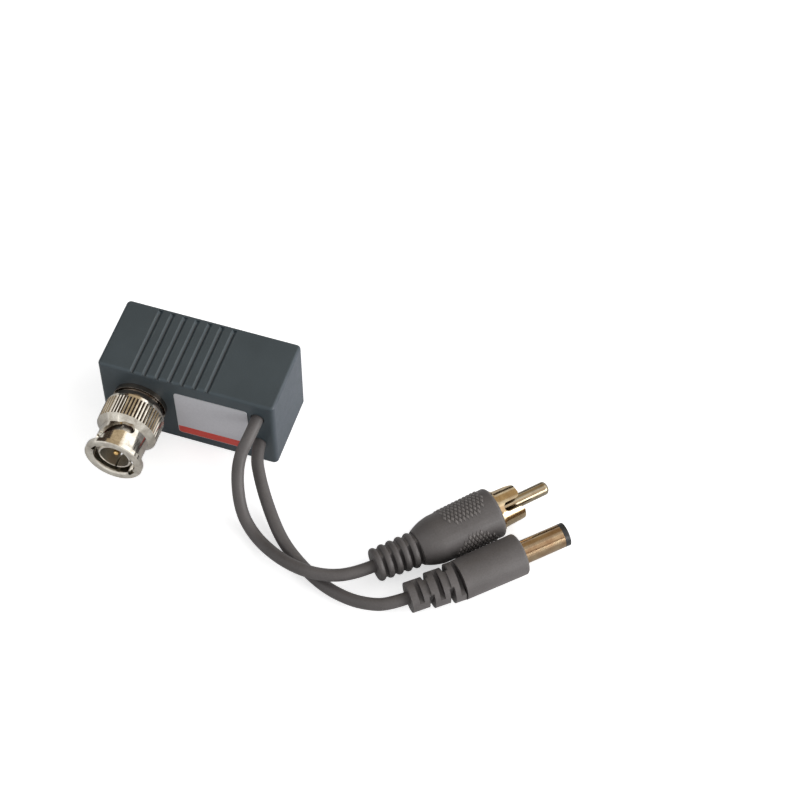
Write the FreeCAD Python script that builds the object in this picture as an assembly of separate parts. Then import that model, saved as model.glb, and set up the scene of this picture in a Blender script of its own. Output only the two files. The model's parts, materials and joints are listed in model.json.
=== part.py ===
import FreeCAD, Part
import math
import os

# A video, audio and power balun in one small moulded box. A spring-loaded bayonet plug stands on
# the front wall, two short cords leave the same wall and end in a phono plug and a barrel power
# plug, and an eight-way modular socket opens in the back wall.
# X runs along the box to the right, Y from the front wall to the back wall, Z up.
# The origin is the middle of the base. Lengths are millimetres, angles degrees.

Vector = FreeCAD.Vector
X_AXIS = Vector(1, 0, 0)
Y_AXIS = Vector(0, 1, 0)
Z_AXIS = Vector(0, 0, 1)

# Housing shell
housing_length = 43.0
housing_depth = 19.4
housing_height = 21.6
wall = 1.6
corner_radius = 1.1
top_edge_radius = 0.8

# Finger grooves across the top
groove_count = 7
groove_pitch = 3.05
groove_first = 8.6
groove_width = 1.3
groove_depth = 0.45
groove_back_margin = 0.9

# Base cover, its rebate and its snap lip
cover_thickness = 1.6
rebate_width = 0.8
cover_clearance = 0.1
lip_thickness = 1.0
lip_height = 2.2
lip_clearance = 0.1
bead_radius = 0.25
bead_groove_clearance = 0.08
bead_length = 6.0
bead_offset = 12.0
bead_height = 2.9

# Circuit board on four pegged posts
board_clearance = 0.3
board_thickness = 1.2
board_standoff = 1.4
post_radius = 1.5
peg_radius = 0.7
peg_clearance = 0.05
peg_rise = 0.4
post_inset = 1.9

# Label on the front wall, between the plug's flange and the cords
label_flange_gap = 2.25
label_cord_gap = 0.9
label_low_margin = 2.7
label_high_margin = 3.7
label_thickness = 0.15
label_corner = 0.8
label_tilt = 1.0

# Modular socket behind the back wall
jack_from_right = 16.0
jack_width = 15.2
jack_height = 12.0
jack_depth = 13.8
jack_recess = 0.3
jack_window_clearance = 0.1
jack_floor = 2.2
cavity_width = 11.9
cavity_height = 6.9
cavity_depth = 11.0
latch_width = 6.3
latch_drop = 1.6
catch_width = 1.3
catch_height = 0.9
catch_depth = 1.4
contact_recess = 0.55
contact_recess_depth = 10.4
jack_peg_radius = 1.15
jack_peg_spread = 5.7
jack_peg_inset = 5.4
jack_peg_below_board = 0.4
block_depth = 2.6
block_width = 10.6
block_clearance = 0.05

# Spring contacts of the socket
contact_count = 8
contact_pitch = 1.02
contact_width = 0.45
contact_thickness = 0.35
contact_fold_inset = 2.2
contact_fold_drop = 0.6
contact_reach = 7.2
contact_drop = 2.7
contact_tail_inset = 1.2

# Bayonet plug, measured forwards from the front wall along its own axis
plug_from_left = 9.9
plug_height = 10.8
flange_radius = 6.5
flange_thickness = 1.2
neck_groove_radius = 5.7
neck_groove_width = 0.4
neck_radius = 6.1
neck_end = 3.0
shank_radius = 4.8
shank_front = 8.0
shank_rear = 4.6
shank_hole_clearance = 0.1
insulator_radius = 3.3
insulator_front = 9.6
contact_sleeve_outer = 4.05
contact_sleeve_inner = 3.5
contact_sleeve_front = 16.5
contact_sleeve_bevel = 0.2
slit_width = 0.45
slit_start = 10.2
pin_base_radius = 1.1
pin_base_front = 10.2
pin_radius = 0.675
pin_shoulder = 0.4
pin_tip = 15.8
pin_rear = 5.8
gasket_thickness = 1.0
gasket_radius = 4.75
panel_nut_flats = 11.0
panel_nut_thickness = 2.2

# Coupling nut of the bayonet plug
nut_gap = 0.3
nut_front = 17.5
running_clearance = 0.08
end_ring_thickness = 1.2
end_ring_radius = 6.6
chamber_radius = 6.3
chamber_front = 8.7
rear_rim_radius = 7.0
rear_rim_length = 0.7
knurl_radius = 7.25
knurl_depth = 0.32
knurl_count = 54
knurl_front = 9.1
knurl_land_share = 0.35
sleeve_radius = 5.8
sleeve_bore = 4.95
rim_radius = 7.0
rim_thickness = 1.3
rim_back_bevel = 0.5
rim_front_bevel = 0.25
mouth_bevel = 0.35

# Bayonet slots: angles are measured from the top towards +X, places along the plug's axis
slot_width = 2.1
slot_detent_radius = 1.15
slot_lug_reach = 5.65
slot_entry_angle = -52.0
slot_knee_angle = -14.0
slot_flat_angle = 8.0
slot_detent_angle = 24.0
slot_entry_place = 14.0
slot_knee_place = 12.0
slot_detent_place = 11.3
slot_copies = 2

# Spring stack between the nut and the retaining ring
stack_gap = 0.03
thrust_washer_thickness = 0.4
thrust_washer_clearance = 0.1
spring_washer_thickness = 0.25
spring_washer_rise = 0.4
spring_washer_inner = 4.95
spring_washer_outer = 6.1
ring_thickness = 0.9
ring_groove_depth = 0.4
ring_radius = 6.15
ring_gap_width = 2.0

# Balun transformer on the board
core_side_inset = 6.4
core_back_inset = 4.5
core_inner_radius = 2.2
core_outer_radius = 3.6
core_height = 2.8
winding_thickness = 0.6
winding_angle = 140.0
wire_radius = 0.35
wire_bend = 1.0

# Cords and their grips behind the front wall
cord_diameter = 2.9
cord_from_right = 4.1
audio_exit_drop = 5.2
power_exit_z = 7.0
cord_hole_clearance = 0.2
cord_inner_reach = 4.1
cord_arc_share = 0.45
tie_width = 2.2
tie_wall = 0.9
tie_head_length = 2.4
tie_head_height = 3.0
core_spacing = 0.55
audio_core_run = 2.6
power_core_run = 1.0

# Phono plug, measured forwards from the joint between its grip and its bent strain relief, which
# is placed from the foot of the front wall straight below the cords' holes
phono_joint_reach = Vector(43.3, -15.2, 5.67)
phono_heading = 46.6
phono_rise = 0.9
phono_roll = 32.0
phono_bend = 4.0
phono_boot_roll = 57.0
phono_lead = 5.2
phono_boot_length = 10.6
phono_ridge_count = 5
phono_ridge_gap = 0.8
phono_ridge_radius = 3.9
phono_ridge_growth = 0.07
phono_ridge_crown = 0.3
phono_groove_depth = 0.5
phono_window_core = 2.3
phono_shoulder_radius = 4.1
phono_flare_radius = 5.1
phono_flare_place = 2.2
phono_back_radius = 5.7
phono_back_place = 5.0
phono_front_radius = 5.95
phono_length = 20.0
phono_front_round = 0.9
phono_shell_radius = 4.45
phono_shell_wall = 0.35
phono_shell_taper = 0.2
phono_shell_reach = 5.8
phono_shell_seat = 2.4
phono_collar_radius = 4.9
phono_collar_thickness = 0.4
phono_slot_width = 2.2
phono_slot_count = 4
phono_slot_reach = 4.6
phono_leaf_corner = 1.1
phono_insulator_front = 0.9
phono_pin_radius = 1.59
phono_pin_reach = 13.7
phono_pin_seat = 6.0
phono_pin_round = 1.0

# Barrel power plug, measured the same way
barrel_joint_reach = Vector(54.5, -19.7, 4.7)
barrel_heading = 44.2
barrel_rise = 0.9
barrel_roll = 14.0
barrel_bend = 5.0
barrel_lead = 4.8
barrel_boot_length = 12.2
barrel_slot_first = 2.2
barrel_slot_count = 5
barrel_slot_width = 1.15
barrel_slot_core = 2.05
barrel_disc_radii = [3.55, 4.15, 4.6]
barrel_disc_slots = [1, 3]
barrel_back_radius = 4.7
barrel_front_radius = 4.9
barrel_length = 15.5
barrel_front_round = 0.6
barrel_tube_radius = 2.75
barrel_tube_wall = 0.3
barrel_tube_reach = 10.3
barrel_tube_seat = 4.0
barrel_seat_radius = 3.4
barrel_tip_length = 1.2
barrel_bore_radius = 1.25
barrel_insulation_wall = 0.5

# The core that carries each strain relief runs this far into the grip
boot_core_overlap = 1.0

# Routes of the cords outside the box, from the foot of the front wall straight below their holes:
# each runs straight out, follows its points and ends on the axis of its plug's strain relief
audio_straight = 3.6
audio_route = [
    (-1.7, -9.8, 11.9),
    (1.1, -16.8, 4.8),
    (5.6, -20.7, 1.4),
    (12.6, -25.5, 3.4),
    (19.5, -28.3, 5.2),
    (25.9, -28.3, 5.4),
]
power_straight = 2.7
power_route = [
    (3.5, -9.1, 5.2),
    (8.2, -15.4, 2.9),
    (13.0, -20.8, 1.7),
    (19.2, -25.4, 1.5),
    (25.8, -28.9, 1.6),
    (32.2, -31.0, 2.9),
    (37.2, -31.4, 4.0),
]

# Derived places
front_y = -housing_depth / 2
back_y = housing_depth / 2
inner_length = housing_length - 2 * wall
inner_depth = housing_depth - 2 * wall
board_margin = lip_clearance + lip_thickness + board_clearance
board_length = inner_length - 2 * board_margin
board_depth = inner_depth - 2 * board_margin
board_bottom = cover_thickness + board_standoff
board_top = board_bottom + board_thickness
post_x = board_length / 2 - post_inset
post_y = board_depth / 2 - post_inset
core_x = core_side_inset - board_length / 2
core_y = board_depth / 2 - core_back_inset
cord_radius = cord_diameter / 2
cord_exit_x = housing_length / 2 - cord_from_right
cord_inner_end = front_y + cord_inner_reach
audio_exit_z = housing_height - audio_exit_drop
cord_foot = Vector(cord_exit_x, front_y, 0)
phono_joint = cord_foot + phono_joint_reach
barrel_joint = cord_foot + barrel_joint_reach
plug_x = -housing_length / 2 + plug_from_left
label_left = plug_x + flange_radius + label_flange_gap
label_right = cord_exit_x - cord_radius - label_cord_gap
label_top = housing_height - label_high_margin
nut_rear = neck_end + nut_gap
chamber_rear = nut_rear + end_ring_thickness
thrust_rear = chamber_rear + stack_gap
thrust_front = thrust_rear + thrust_washer_thickness
spring_rear = thrust_front + stack_gap
spring_length = 2 * (spring_washer_thickness + spring_washer_rise)
ring_rear = spring_rear + spring_length + stack_gap
ring_front = ring_rear + ring_thickness
jack_x = housing_length / 2 - jack_from_right
jack_front = back_y - jack_recess
jack_rear = jack_front - jack_depth
jack_peg_y = jack_rear + jack_peg_inset
cavity_floor = board_top + jack_floor + latch_drop
cavity_top = cavity_floor + cavity_height


def box(size, center_x, low_y, low_z, depth, height):
    """Box of the given length along X, centred there, from low_y and low_z upwards."""
    corner = Vector(center_x - size / 2, low_y, low_z)
    return Part.makeBox(size, depth, height, corner)


def cylinder(radius, length, base=Vector(0, 0, 0), axis=Z_AXIS):
    return Part.makeCylinder(radius, length, base, axis)


def tube(outer, inner, length, base=Vector(0, 0, 0), axis=Z_AXIS):
    return cylinder(outer, length, base, axis).cut(cylinder(inner, length, base, axis))


def turned(profile):
    """Solid of revolution about Z from (radius, height) points of a closed outline."""
    points = [Vector(radius, 0, height) for radius, height in profile]
    face = Part.Face(Part.makePolygon(points + points[:1]))
    return face.revolve(Vector(0, 0, 0), Z_AXIS, 360)


def turned_edges(edges):
    """Solid of revolution about Z from edges that close an outline in the XZ plane."""
    wire = Part.Wire(Part.__sortEdges__(edges))
    return Part.Face(wire).revolve(Vector(0, 0, 0), Z_AXIS, 360)


def line(start, end):
    return Part.LineSegment(Vector(start[0], 0, start[1]), Vector(end[0], 0, end[1])).toShape()


def arc(start, middle, end):
    points = [Vector(radius, 0, height) for radius, height in (start, middle, end)]
    return Part.Arc(*points).toShape()


def quarter_round(outer, height, size):
    """Arc from (outer, height - size) inwards to (outer - size, height)."""
    bulge = size * (1 - math.sqrt(0.5))
    start = (outer, height - size)
    middle = (outer - bulge, height - bulge)
    end = (outer - size, height)
    return arc(start, middle, end)


def spun(shape, angle, axis=Z_AXIS):
    copy = shape.copy()
    copy.rotate(Vector(0, 0, 0), axis, angle)
    return copy


def ribbon(points, thickness, width, center_x):
    """Bent strip whose centre line runs through (y, z) points, of even thickness, along X."""
    count = len(points)
    sides = ([], [])
    for index, point in enumerate(points):
        before = points[max(index - 1, 0)]
        after = points[min(index + 1, count - 1)]
        arrive = Vector(0, point[0] - before[0], point[1] - before[1])
        leave = Vector(0, after[0] - point[0], after[1] - point[1])
        arrive = leave if arrive.Length == 0 else arrive
        leave = arrive if leave.Length == 0 else leave
        arrive.normalize()
        leave.normalize()
        normal = arrive.cross(X_AXIS) + leave.cross(X_AXIS)
        normal.normalize()
        reach = thickness / 2 / normal.dot(leave.cross(X_AXIS))
        center = Vector(center_x - width / 2, point[0], point[1])
        sides[0].append(center + normal * reach)
        sides[1].append(center - normal * reach)
    outline = sides[0] + sides[1][::-1]
    face = Part.Face(Part.makePolygon(outline + outline[:1]))
    return face.extrude(X_AXIS * width)


def on_plug_axis(shape):
    """Moves a shape from its own upright frame to the bayonet plug's place on the front wall."""
    placed = spun(shape, 90, X_AXIS)
    placed.translate(Vector(plug_x, front_y, plug_height))
    return placed


def heading_vector(heading, rise):
    level = math.cos(math.radians(rise))
    east = level * math.cos(math.radians(heading))
    north = level * math.sin(math.radians(heading))
    return Vector(east, north, math.sin(math.radians(rise)))


def laid_down(shape, joint, heading, rise, roll):
    """Lays a plug part, modelled upright with its joint at the origin, along a heading."""
    forward = heading_vector(heading, rise)
    left = Vector(-math.sin(math.radians(heading)), math.cos(math.radians(heading)), 0)
    up = forward.cross(left)
    placed = spun(shape, roll)
    turn = FreeCAD.Rotation(left, up, forward, "ZXY")
    placed.Placement = FreeCAD.Placement(joint, turn).multiply(placed.Placement)
    return placed


def on_phono_axis(shape):
    return laid_down(shape, phono_joint, phono_heading, phono_rise, phono_roll)


def on_barrel_axis(shape):
    return laid_down(shape, barrel_joint, barrel_heading, barrel_rise, barrel_roll)


def upright_edges(shape):
    """Edges that run parallel to Z."""
    found = []
    for edge in shape.Edges:
        bounds = edge.BoundBox
        if bounds.ZLength > bounds.XLength + bounds.YLength:
            found.append(edge)
    return found


def edges_at_height(shape, height):
    """Edges that lie wholly at one height."""
    level = 0.001
    found = []
    for edge in shape.Edges:
        bounds = edge.BoundBox
        if abs(bounds.ZMin - height) < level and abs(bounds.ZMax - height) < level:
            found.append(edge)
    return found


def rounded_shell_block():
    block = box(housing_length, 0, front_y, 0, housing_depth, housing_height)
    block = block.makeFillet(corner_radius, upright_edges(block))
    return block.makeFillet(top_edge_radius, edges_at_height(block, housing_height))


def top_groove(center_x):
    """V groove that starts just inside the back edge and runs out over the front edge."""
    half = groove_width / 2
    start_y = front_y - wall
    end_y = back_y - groove_back_margin
    corners = [
        Vector(center_x - half, start_y, housing_height),
        Vector(center_x, start_y, housing_height - groove_depth),
        Vector(center_x + half, start_y, housing_height),
        Vector(center_x, start_y, housing_height + groove_depth),
    ]
    face = Part.Face(Part.makePolygon(corners + corners[:1]))
    return face.extrude(Y_AXIS * (end_y - start_y))


def snap_beads(radius, along):
    """Four half-round ridges, two on each long side of the cover's lip."""
    beads = []
    lip_face = inner_depth / 2 - lip_clearance
    for side in (-1, 1):
        for end in (-1, 1):
            start = Vector(end * bead_offset - along / 2, side * lip_face, bead_height)
            beads.append(cylinder(radius, along, start, X_AXIS))
    return beads


def housing():
    shell = rounded_shell_block()
    inner_height = housing_height - wall
    shell = shell.cut(box(inner_length, 0, front_y + wall, 0, inner_depth, inner_height))
    rebate_length = inner_length + 2 * rebate_width
    rebate_depth = inner_depth + 2 * rebate_width
    shell = shell.cut(box(rebate_length, 0, -rebate_depth / 2, 0, rebate_depth, cover_thickness))
    cuts = []
    first_x = -housing_length / 2 + groove_first
    for index in range(groove_count):
        cuts.append(top_groove(first_x + index * groove_pitch))
    cuts += snap_beads(bead_radius + bead_groove_clearance, bead_length + bead_groove_clearance)
    plug_hole = shank_radius + shank_hole_clearance
    cuts.append(on_plug_axis(cylinder(plug_hole, 2 * wall, Vector(0, 0, -wall - wall / 2))))
    for height in (audio_exit_z, power_exit_z):
        start = Vector(cord_exit_x, front_y - wall / 2, height)
        cuts.append(cylinder(cord_radius + cord_hole_clearance, 2 * wall, start, Y_AXIS))
    window_width = jack_width + 2 * jack_window_clearance
    window_height = jack_height + 2 * jack_window_clearance
    window_low = board_top - jack_window_clearance
    cuts.append(box(window_width, jack_x, back_y - 1.5 * wall, window_low, 2 * wall, window_height))
    return shell.cut(cuts)


def base_cover():
    plate_length = inner_length + 2 * (rebate_width - cover_clearance)
    plate_depth = inner_depth + 2 * (rebate_width - cover_clearance)
    plate = box(plate_length, 0, -plate_depth / 2, 0, plate_depth, cover_thickness)
    lip_length = inner_length - 2 * lip_clearance
    lip_depth = inner_depth - 2 * lip_clearance
    lip = box(lip_length, 0, -lip_depth / 2, cover_thickness, lip_depth, lip_height)
    room_length = lip_length - 2 * lip_thickness
    room_depth = lip_depth - 2 * lip_thickness
    lip = lip.cut(box(room_length, 0, -room_depth / 2, cover_thickness, room_depth, lip_height))
    added = [lip] + snap_beads(bead_radius, bead_length)
    peg_height = board_standoff + board_thickness + peg_rise
    for x in (-post_x, post_x):
        for y in (-post_y, post_y):
            foot = Vector(x, y, cover_thickness)
            added.append(cylinder(post_radius, board_standoff, foot))
            added.append(cylinder(peg_radius, peg_height, foot))
    return plate.fuse(added).removeSplitter()


def circuit_board():
    board = box(board_length, 0, -board_depth / 2, board_bottom, board_depth, board_thickness)
    holes = []
    for x in (-post_x, post_x):
        for y in (-post_y, post_y):
            base = Vector(x, y, board_bottom)
            holes.append(cylinder(peg_radius + peg_clearance, board_thickness, base))
    for side in (-1, 1):
        base = Vector(jack_x + side * jack_peg_spread, jack_peg_y, board_bottom)
        holes.append(cylinder(jack_peg_radius + peg_clearance, board_thickness, base))
    return board.cut(holes)


def label():
    width = label_right - label_left
    height = label_top - label_low_margin
    plate = box(width, 0, -label_thickness, -height / 2, label_thickness, height)
    corners = []
    for edge in plate.Edges:
        if edge.BoundBox.YLength > edge.BoundBox.XLength + edge.BoundBox.ZLength:
            corners.append(edge)
    plate = spun(plate.makeFillet(label_corner, corners), -label_tilt, Y_AXIS)
    center_x = (label_left + label_right) / 2
    center_z = (label_low_margin + label_top) / 2
    plate.translate(Vector(center_x, front_y, center_z))
    return plate


def contact_line():
    """Centre line of one socket contact in (y, z): board, rear riser, run to the mouth, fold."""
    riser_y = jack_rear + contact_tail_inset
    run_z = cavity_top + contact_recess / 2
    fold_y = jack_front - contact_fold_inset
    fold_half = contact_fold_drop / 2
    return [
        (riser_y, board_top),
        (riser_y, run_z),
        (fold_y, run_z),
        (fold_y + fold_half, run_z - fold_half),
        (fold_y, run_z - contact_fold_drop),
        (fold_y - contact_reach, run_z - contact_drop),
    ]


def socket_contact(index):
    place = jack_x + (index - (contact_count - 1) / 2) * contact_pitch
    return ribbon(contact_line(), contact_thickness, contact_width, place)


def jack_housing():
    body = box(jack_width, jack_x, jack_rear, board_top, jack_depth, jack_height)
    mouth_y = jack_front - cavity_depth
    cuts = [box(cavity_width, jack_x, mouth_y, cavity_floor, cavity_depth, cavity_height)]
    latch_low = cavity_floor - latch_drop
    cuts.append(box(latch_width, jack_x, mouth_y, latch_low, cavity_depth, latch_drop))
    comb_width = contact_count * contact_pitch
    comb_y = jack_front - contact_recess_depth
    recess_depth = contact_recess_depth - contact_fold_inset + contact_fold_drop
    cuts.append(box(comb_width, jack_x, comb_y, cavity_top, recess_depth, contact_recess))
    pocket_height = cavity_top + contact_recess - board_top
    pocket_depth = jack_depth - contact_recess_depth
    pocket = box(block_width, jack_x, jack_rear, board_top, pocket_depth, pocket_height)
    cuts.append(pocket)
    body = body.cut(cuts)
    catches = []
    for side in (-1, 1):
        catch_x = jack_x + side * (latch_width - catch_width) / 2
        catch_y = jack_front - catch_depth
        catches.append(box(catch_width, catch_x, catch_y, latch_low, catch_depth, catch_height))
    for side in (-1, 1):
        drop = board_thickness + jack_peg_below_board
        base = Vector(jack_x + side * jack_peg_spread, jack_peg_y, board_top - drop)
        catches.append(cylinder(jack_peg_radius, drop, base))
    return body.fuse(catches).removeSplitter()


def contact_block(contacts):
    """Insulating block behind the cavity, slotted round the contacts that it carries."""
    height = cavity_top + contact_recess - board_top - block_clearance
    width = block_width - 2 * block_clearance
    block = box(width, jack_x, jack_rear, board_top, block_depth, height)
    return block.cut(contacts)


def plug_body():
    """Fixed part of the bayonet plug: flange, neck, shank and slit contact sleeve, in one turning."""
    groove_start = flange_thickness
    groove_end = flange_thickness + neck_groove_width
    outline = [
        (insulator_radius, -shank_rear),
        (shank_radius, -shank_rear),
        (shank_radius, 0),
        (flange_radius, 0),
        (flange_radius, groove_start),
        (neck_groove_radius, groove_start),
        (neck_groove_radius, groove_end),
        (neck_radius, groove_end),
        (neck_radius, neck_end),
        (shank_radius, neck_end),
        (shank_radius, ring_rear),
        (shank_radius - ring_groove_depth, ring_rear),
        (shank_radius - ring_groove_depth, ring_front),
        (shank_radius, ring_front),
        (shank_radius, shank_front),
        (contact_sleeve_outer, shank_front),
        (contact_sleeve_outer, contact_sleeve_front - contact_sleeve_bevel),
        (contact_sleeve_outer - contact_sleeve_bevel, contact_sleeve_front),
        (contact_sleeve_inner, contact_sleeve_front),
        (contact_sleeve_inner, shank_front),
        (insulator_radius, shank_front),
    ]
    body = turned(outline)
    slit_length = contact_sleeve_front - slit_start
    slit = Part.makeBox(
        2 * sleeve_radius, slit_width, slit_length, Vector(-sleeve_radius, -slit_width / 2, slit_start)
    )
    return on_plug_axis(body.cut([slit, spun(slit, 90)]))


def plug_insulator():
    height = insulator_front + shank_rear
    return on_plug_axis(tube(insulator_radius, pin_base_radius, height, Vector(0, 0, -shank_rear)))


def plug_center_pin():
    tip_start = pin_tip - pin_radius
    edges = [
        line((0, -pin_rear), (pin_base_radius, -pin_rear)),
        line((pin_base_radius, -pin_rear), (pin_base_radius, pin_base_front)),
        line((pin_base_radius, pin_base_front), (pin_radius, pin_base_front + pin_shoulder)),
        line((pin_radius, pin_base_front + pin_shoulder), (pin_radius, tip_start)),
        quarter_round(pin_radius, pin_tip, pin_radius),
        line((0, pin_tip), (0, -pin_rear)),
    ]
    return on_plug_axis(turned_edges(edges))


def plug_gasket():
    base = Vector(0, 0, shank_front)
    return on_plug_axis(tube(gasket_radius, contact_sleeve_outer, gasket_thickness, base))


def panel_nut():
    corner = panel_nut_flats / math.sqrt(3)
    base = -wall - panel_nut_thickness
    points = []
    for index in range(6):
        angle = math.radians(60 * index)
        points.append(Vector(corner * math.cos(angle), corner * math.sin(angle), base))
    prism = Part.Face(Part.makePolygon(points + points[:1])).extrude(Z_AXIS * panel_nut_thickness)
    return on_plug_axis(prism.cut(cylinder(shank_radius, panel_nut_thickness, Vector(0, 0, base))))


def retaining_ring():
    inner = shank_radius - ring_groove_depth
    ring = tube(ring_radius, inner, ring_thickness, Vector(0, 0, ring_rear))
    gap_corner = Vector(-ring_gap_width / 2, 0, ring_rear)
    gap = Part.makeBox(ring_gap_width, ring_radius, ring_thickness, gap_corner)
    return on_plug_axis(ring.cut(gap))


def spring_washer(place, outer_first):
    """Thin cone whose inner or outer edge is the rear one."""
    rise = spring_washer_rise
    inner_place = place + (rise if outer_first else 0)
    outer_place = place + (0 if outer_first else rise)
    outline = [
        (spring_washer_inner, inner_place),
        (spring_washer_outer, outer_place),
        (spring_washer_outer, outer_place + spring_washer_thickness),
        (spring_washer_inner, inner_place + spring_washer_thickness),
    ]
    return on_plug_axis(turned(outline))


def thrust_washer():
    inner = shank_radius + thrust_washer_clearance
    outer = chamber_radius - thrust_washer_clearance
    base = Vector(0, 0, thrust_rear)
    return on_plug_axis(tube(outer, inner, thrust_washer_thickness, base))


def knurl_cutter():
    """Everything between the knurl's teeth, as a ring to take away from the nut."""
    step = 2 * math.pi / knurl_count
    root = knurl_radius - knurl_depth
    start = nut_rear + rear_rim_length
    land = knurl_land_share / 2
    teeth = []
    for index in range(knurl_count):
        for place, radius in ((-land, knurl_radius), (land, knurl_radius), (0.5, root)):
            angle = (index + place) * step
            teeth.append(Vector(radius * math.cos(angle), radius * math.sin(angle), start))
    length = knurl_front - start
    core = Part.Face(Part.makePolygon(teeth + teeth[:1])).extrude(Z_AXIS * length)
    return cylinder(knurl_radius + wall, length, Vector(0, 0, start)).cut(core)


def radial_hole(angle, place, radius):
    """Round cutter through the sleeve wall at an angle from the top and a place along the axis."""
    start = Vector(0, slot_inner_radius(), place)
    hole = cylinder(radius, slot_outer_radius() - slot_inner_radius(), start, Y_AXIS)
    return spun(hole, -angle)


def slot_inner_radius():
    return sleeve_bore - wall / 2


def slot_outer_radius():
    return knurl_radius + wall / 2


def slot_ramp(start_angle, start_place, end_angle, end_place):
    """Helical cutter between two points of the slot's centre line, square to the sleeve's axis."""
    turn = end_angle - start_angle
    drop = start_place - end_place
    slope = math.atan2(drop, math.radians(turn) * sleeve_radius)
    half = slot_width / 2 / math.cos(slope)
    steps = 4
    pieces = []
    for index in range(steps):
        rings = []
        for share in (index / steps, (index + 1) / steps):
            angle = math.radians(start_angle + share * turn)
            place = start_place - share * drop
            corners = []
            for radius in (slot_inner_radius(), slot_outer_radius()):
                for side in (-half, half):
                    x = radius * math.sin(angle)
                    y = radius * math.cos(angle)
                    corners.append(Vector(x, y, place + side))
            order = [corners[0], corners[1], corners[3], corners[2], corners[0]]
            rings.append(Part.makePolygon(order))
        pieces.append(Part.makeLoft(rings, True, True))
    return pieces


def bayonet_slot():
    """Cutters for one slot: entry from the mouth, steep ramp, shallow ramp, flat end and detent."""
    entry_corner = Vector(-slot_width / 2, slot_inner_radius(), slot_entry_place)
    rim_back = nut_front - rim_thickness - rim_back_bevel
    cutters = [
        Part.makeBox(
            slot_width,
            slot_outer_radius() - slot_inner_radius(),
            rim_back - slot_entry_place,
            entry_corner,
        ),
        Part.makeBox(
            slot_width,
            slot_lug_reach - slot_inner_radius(),
            nut_front - slot_entry_place + rim_front_bevel,
            entry_corner,
        ),
    ]
    cutters = [spun(cutter, -slot_entry_angle) for cutter in cutters]
    cutters += slot_ramp(slot_entry_angle, slot_entry_place, slot_knee_angle, slot_knee_place)
    cutters += slot_ramp(slot_knee_angle, slot_knee_place, slot_flat_angle, slot_detent_place)
    cutters += slot_ramp(slot_flat_angle, slot_detent_place, slot_detent_angle, slot_detent_place)
    bend_radius = slot_width / 2
    cutters.append(radial_hole(slot_entry_angle, slot_entry_place, bend_radius))
    cutters.append(radial_hole(slot_knee_angle, slot_knee_place, bend_radius))
    cutters.append(radial_hole(slot_flat_angle, slot_detent_place, bend_radius))
    cutters.append(radial_hole(slot_detent_angle, slot_detent_place, slot_detent_radius))
    return cutters


def coupling_nut():
    """Knurled drum, coned shoulder, slotted sleeve and front rim, bored for the jack and springs."""
    rim_back = nut_front - rim_thickness
    cone_length = knurl_radius - sleeve_radius
    outline = [
        (end_ring_radius, nut_rear),
        (rear_rim_radius, nut_rear),
        (rear_rim_radius, nut_rear + rear_rim_length),
        (knurl_radius, nut_rear + rear_rim_length),
        (knurl_radius, knurl_front),
        (sleeve_radius, knurl_front + cone_length),
        (sleeve_radius, rim_back - rim_back_bevel),
        (rim_radius, rim_back),
        (rim_radius, nut_front - rim_front_bevel),
        (rim_radius - rim_front_bevel, nut_front),
        (sleeve_bore + mouth_bevel, nut_front),
        (sleeve_bore, nut_front - mouth_bevel),
        (sleeve_bore, chamber_front),
        (chamber_radius, chamber_front),
        (chamber_radius, chamber_rear),
        (end_ring_radius, chamber_rear),
    ]
    nut = turned(outline).cut(knurl_cutter())
    for copy in range(slot_copies):
        turn = 360 / slot_copies * copy
        nut = nut.cut([spun(cutter, turn) for cutter in bayonet_slot()])
    return on_plug_axis(nut)


def nut_end_ring():
    inner = shank_radius + running_clearance
    return on_plug_axis(tube(end_ring_radius, inner, end_ring_thickness, Vector(0, 0, nut_rear)))


def balun_core():
    base = Vector(core_x, core_y, board_top + winding_thickness)
    return tube(core_outer_radius, core_inner_radius, core_height, base)


def balun_winding(middle_angle):
    """Band of wire wrapped round part of the ring core."""
    low = board_top
    high = board_top + core_height + 2 * winding_thickness
    inside = core_inner_radius - winding_thickness
    outside = core_outer_radius + winding_thickness
    wrap = [(inside, low), (outside, low), (outside, high), (inside, high)]
    hollow_low = low + winding_thickness
    hollow_high = high - winding_thickness
    hollow = [
        (core_inner_radius, hollow_low),
        (core_outer_radius, hollow_low),
        (core_outer_radius, hollow_high),
        (core_inner_radius, hollow_high),
    ]
    solids = []
    for outline in (wrap, hollow):
        points = [Vector(radius, 0, height) for radius, height in outline]
        face = Part.Face(Part.makePolygon(points + points[:1]))
        solids.append(face.revolve(Vector(0, 0, 0), Z_AXIS, winding_angle))
    band = spun(solids[0].cut(solids[1]), middle_angle - winding_angle / 2)
    band.translate(Vector(core_x, core_y, 0))
    return band


def drop_wire(start, run):
    """Core wire that leaves a horizontal end towards +Y and bends down to the board."""
    bend_y = start.y + run
    low_z = start.z - wire_bend
    corner = wire_bend * (1 - math.sqrt(0.5))
    path = Part.Wire(
        [
            Part.LineSegment(start, Vector(start.x, bend_y, start.z)).toShape(),
            Part.Arc(
                Vector(start.x, bend_y, start.z),
                Vector(start.x, bend_y + wire_bend - corner, start.z - corner),
                Vector(start.x, bend_y + wire_bend, low_z),
            ).toShape(),
            Part.LineSegment(
                Vector(start.x, bend_y + wire_bend, low_z),
                Vector(start.x, bend_y + wire_bend, board_top),
            ).toShape(),
        ]
    )
    section = Part.Wire([Part.Circle(start, Y_AXIS, wire_radius).toShape()])
    return path.makePipeShell([section], True, True)


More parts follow.
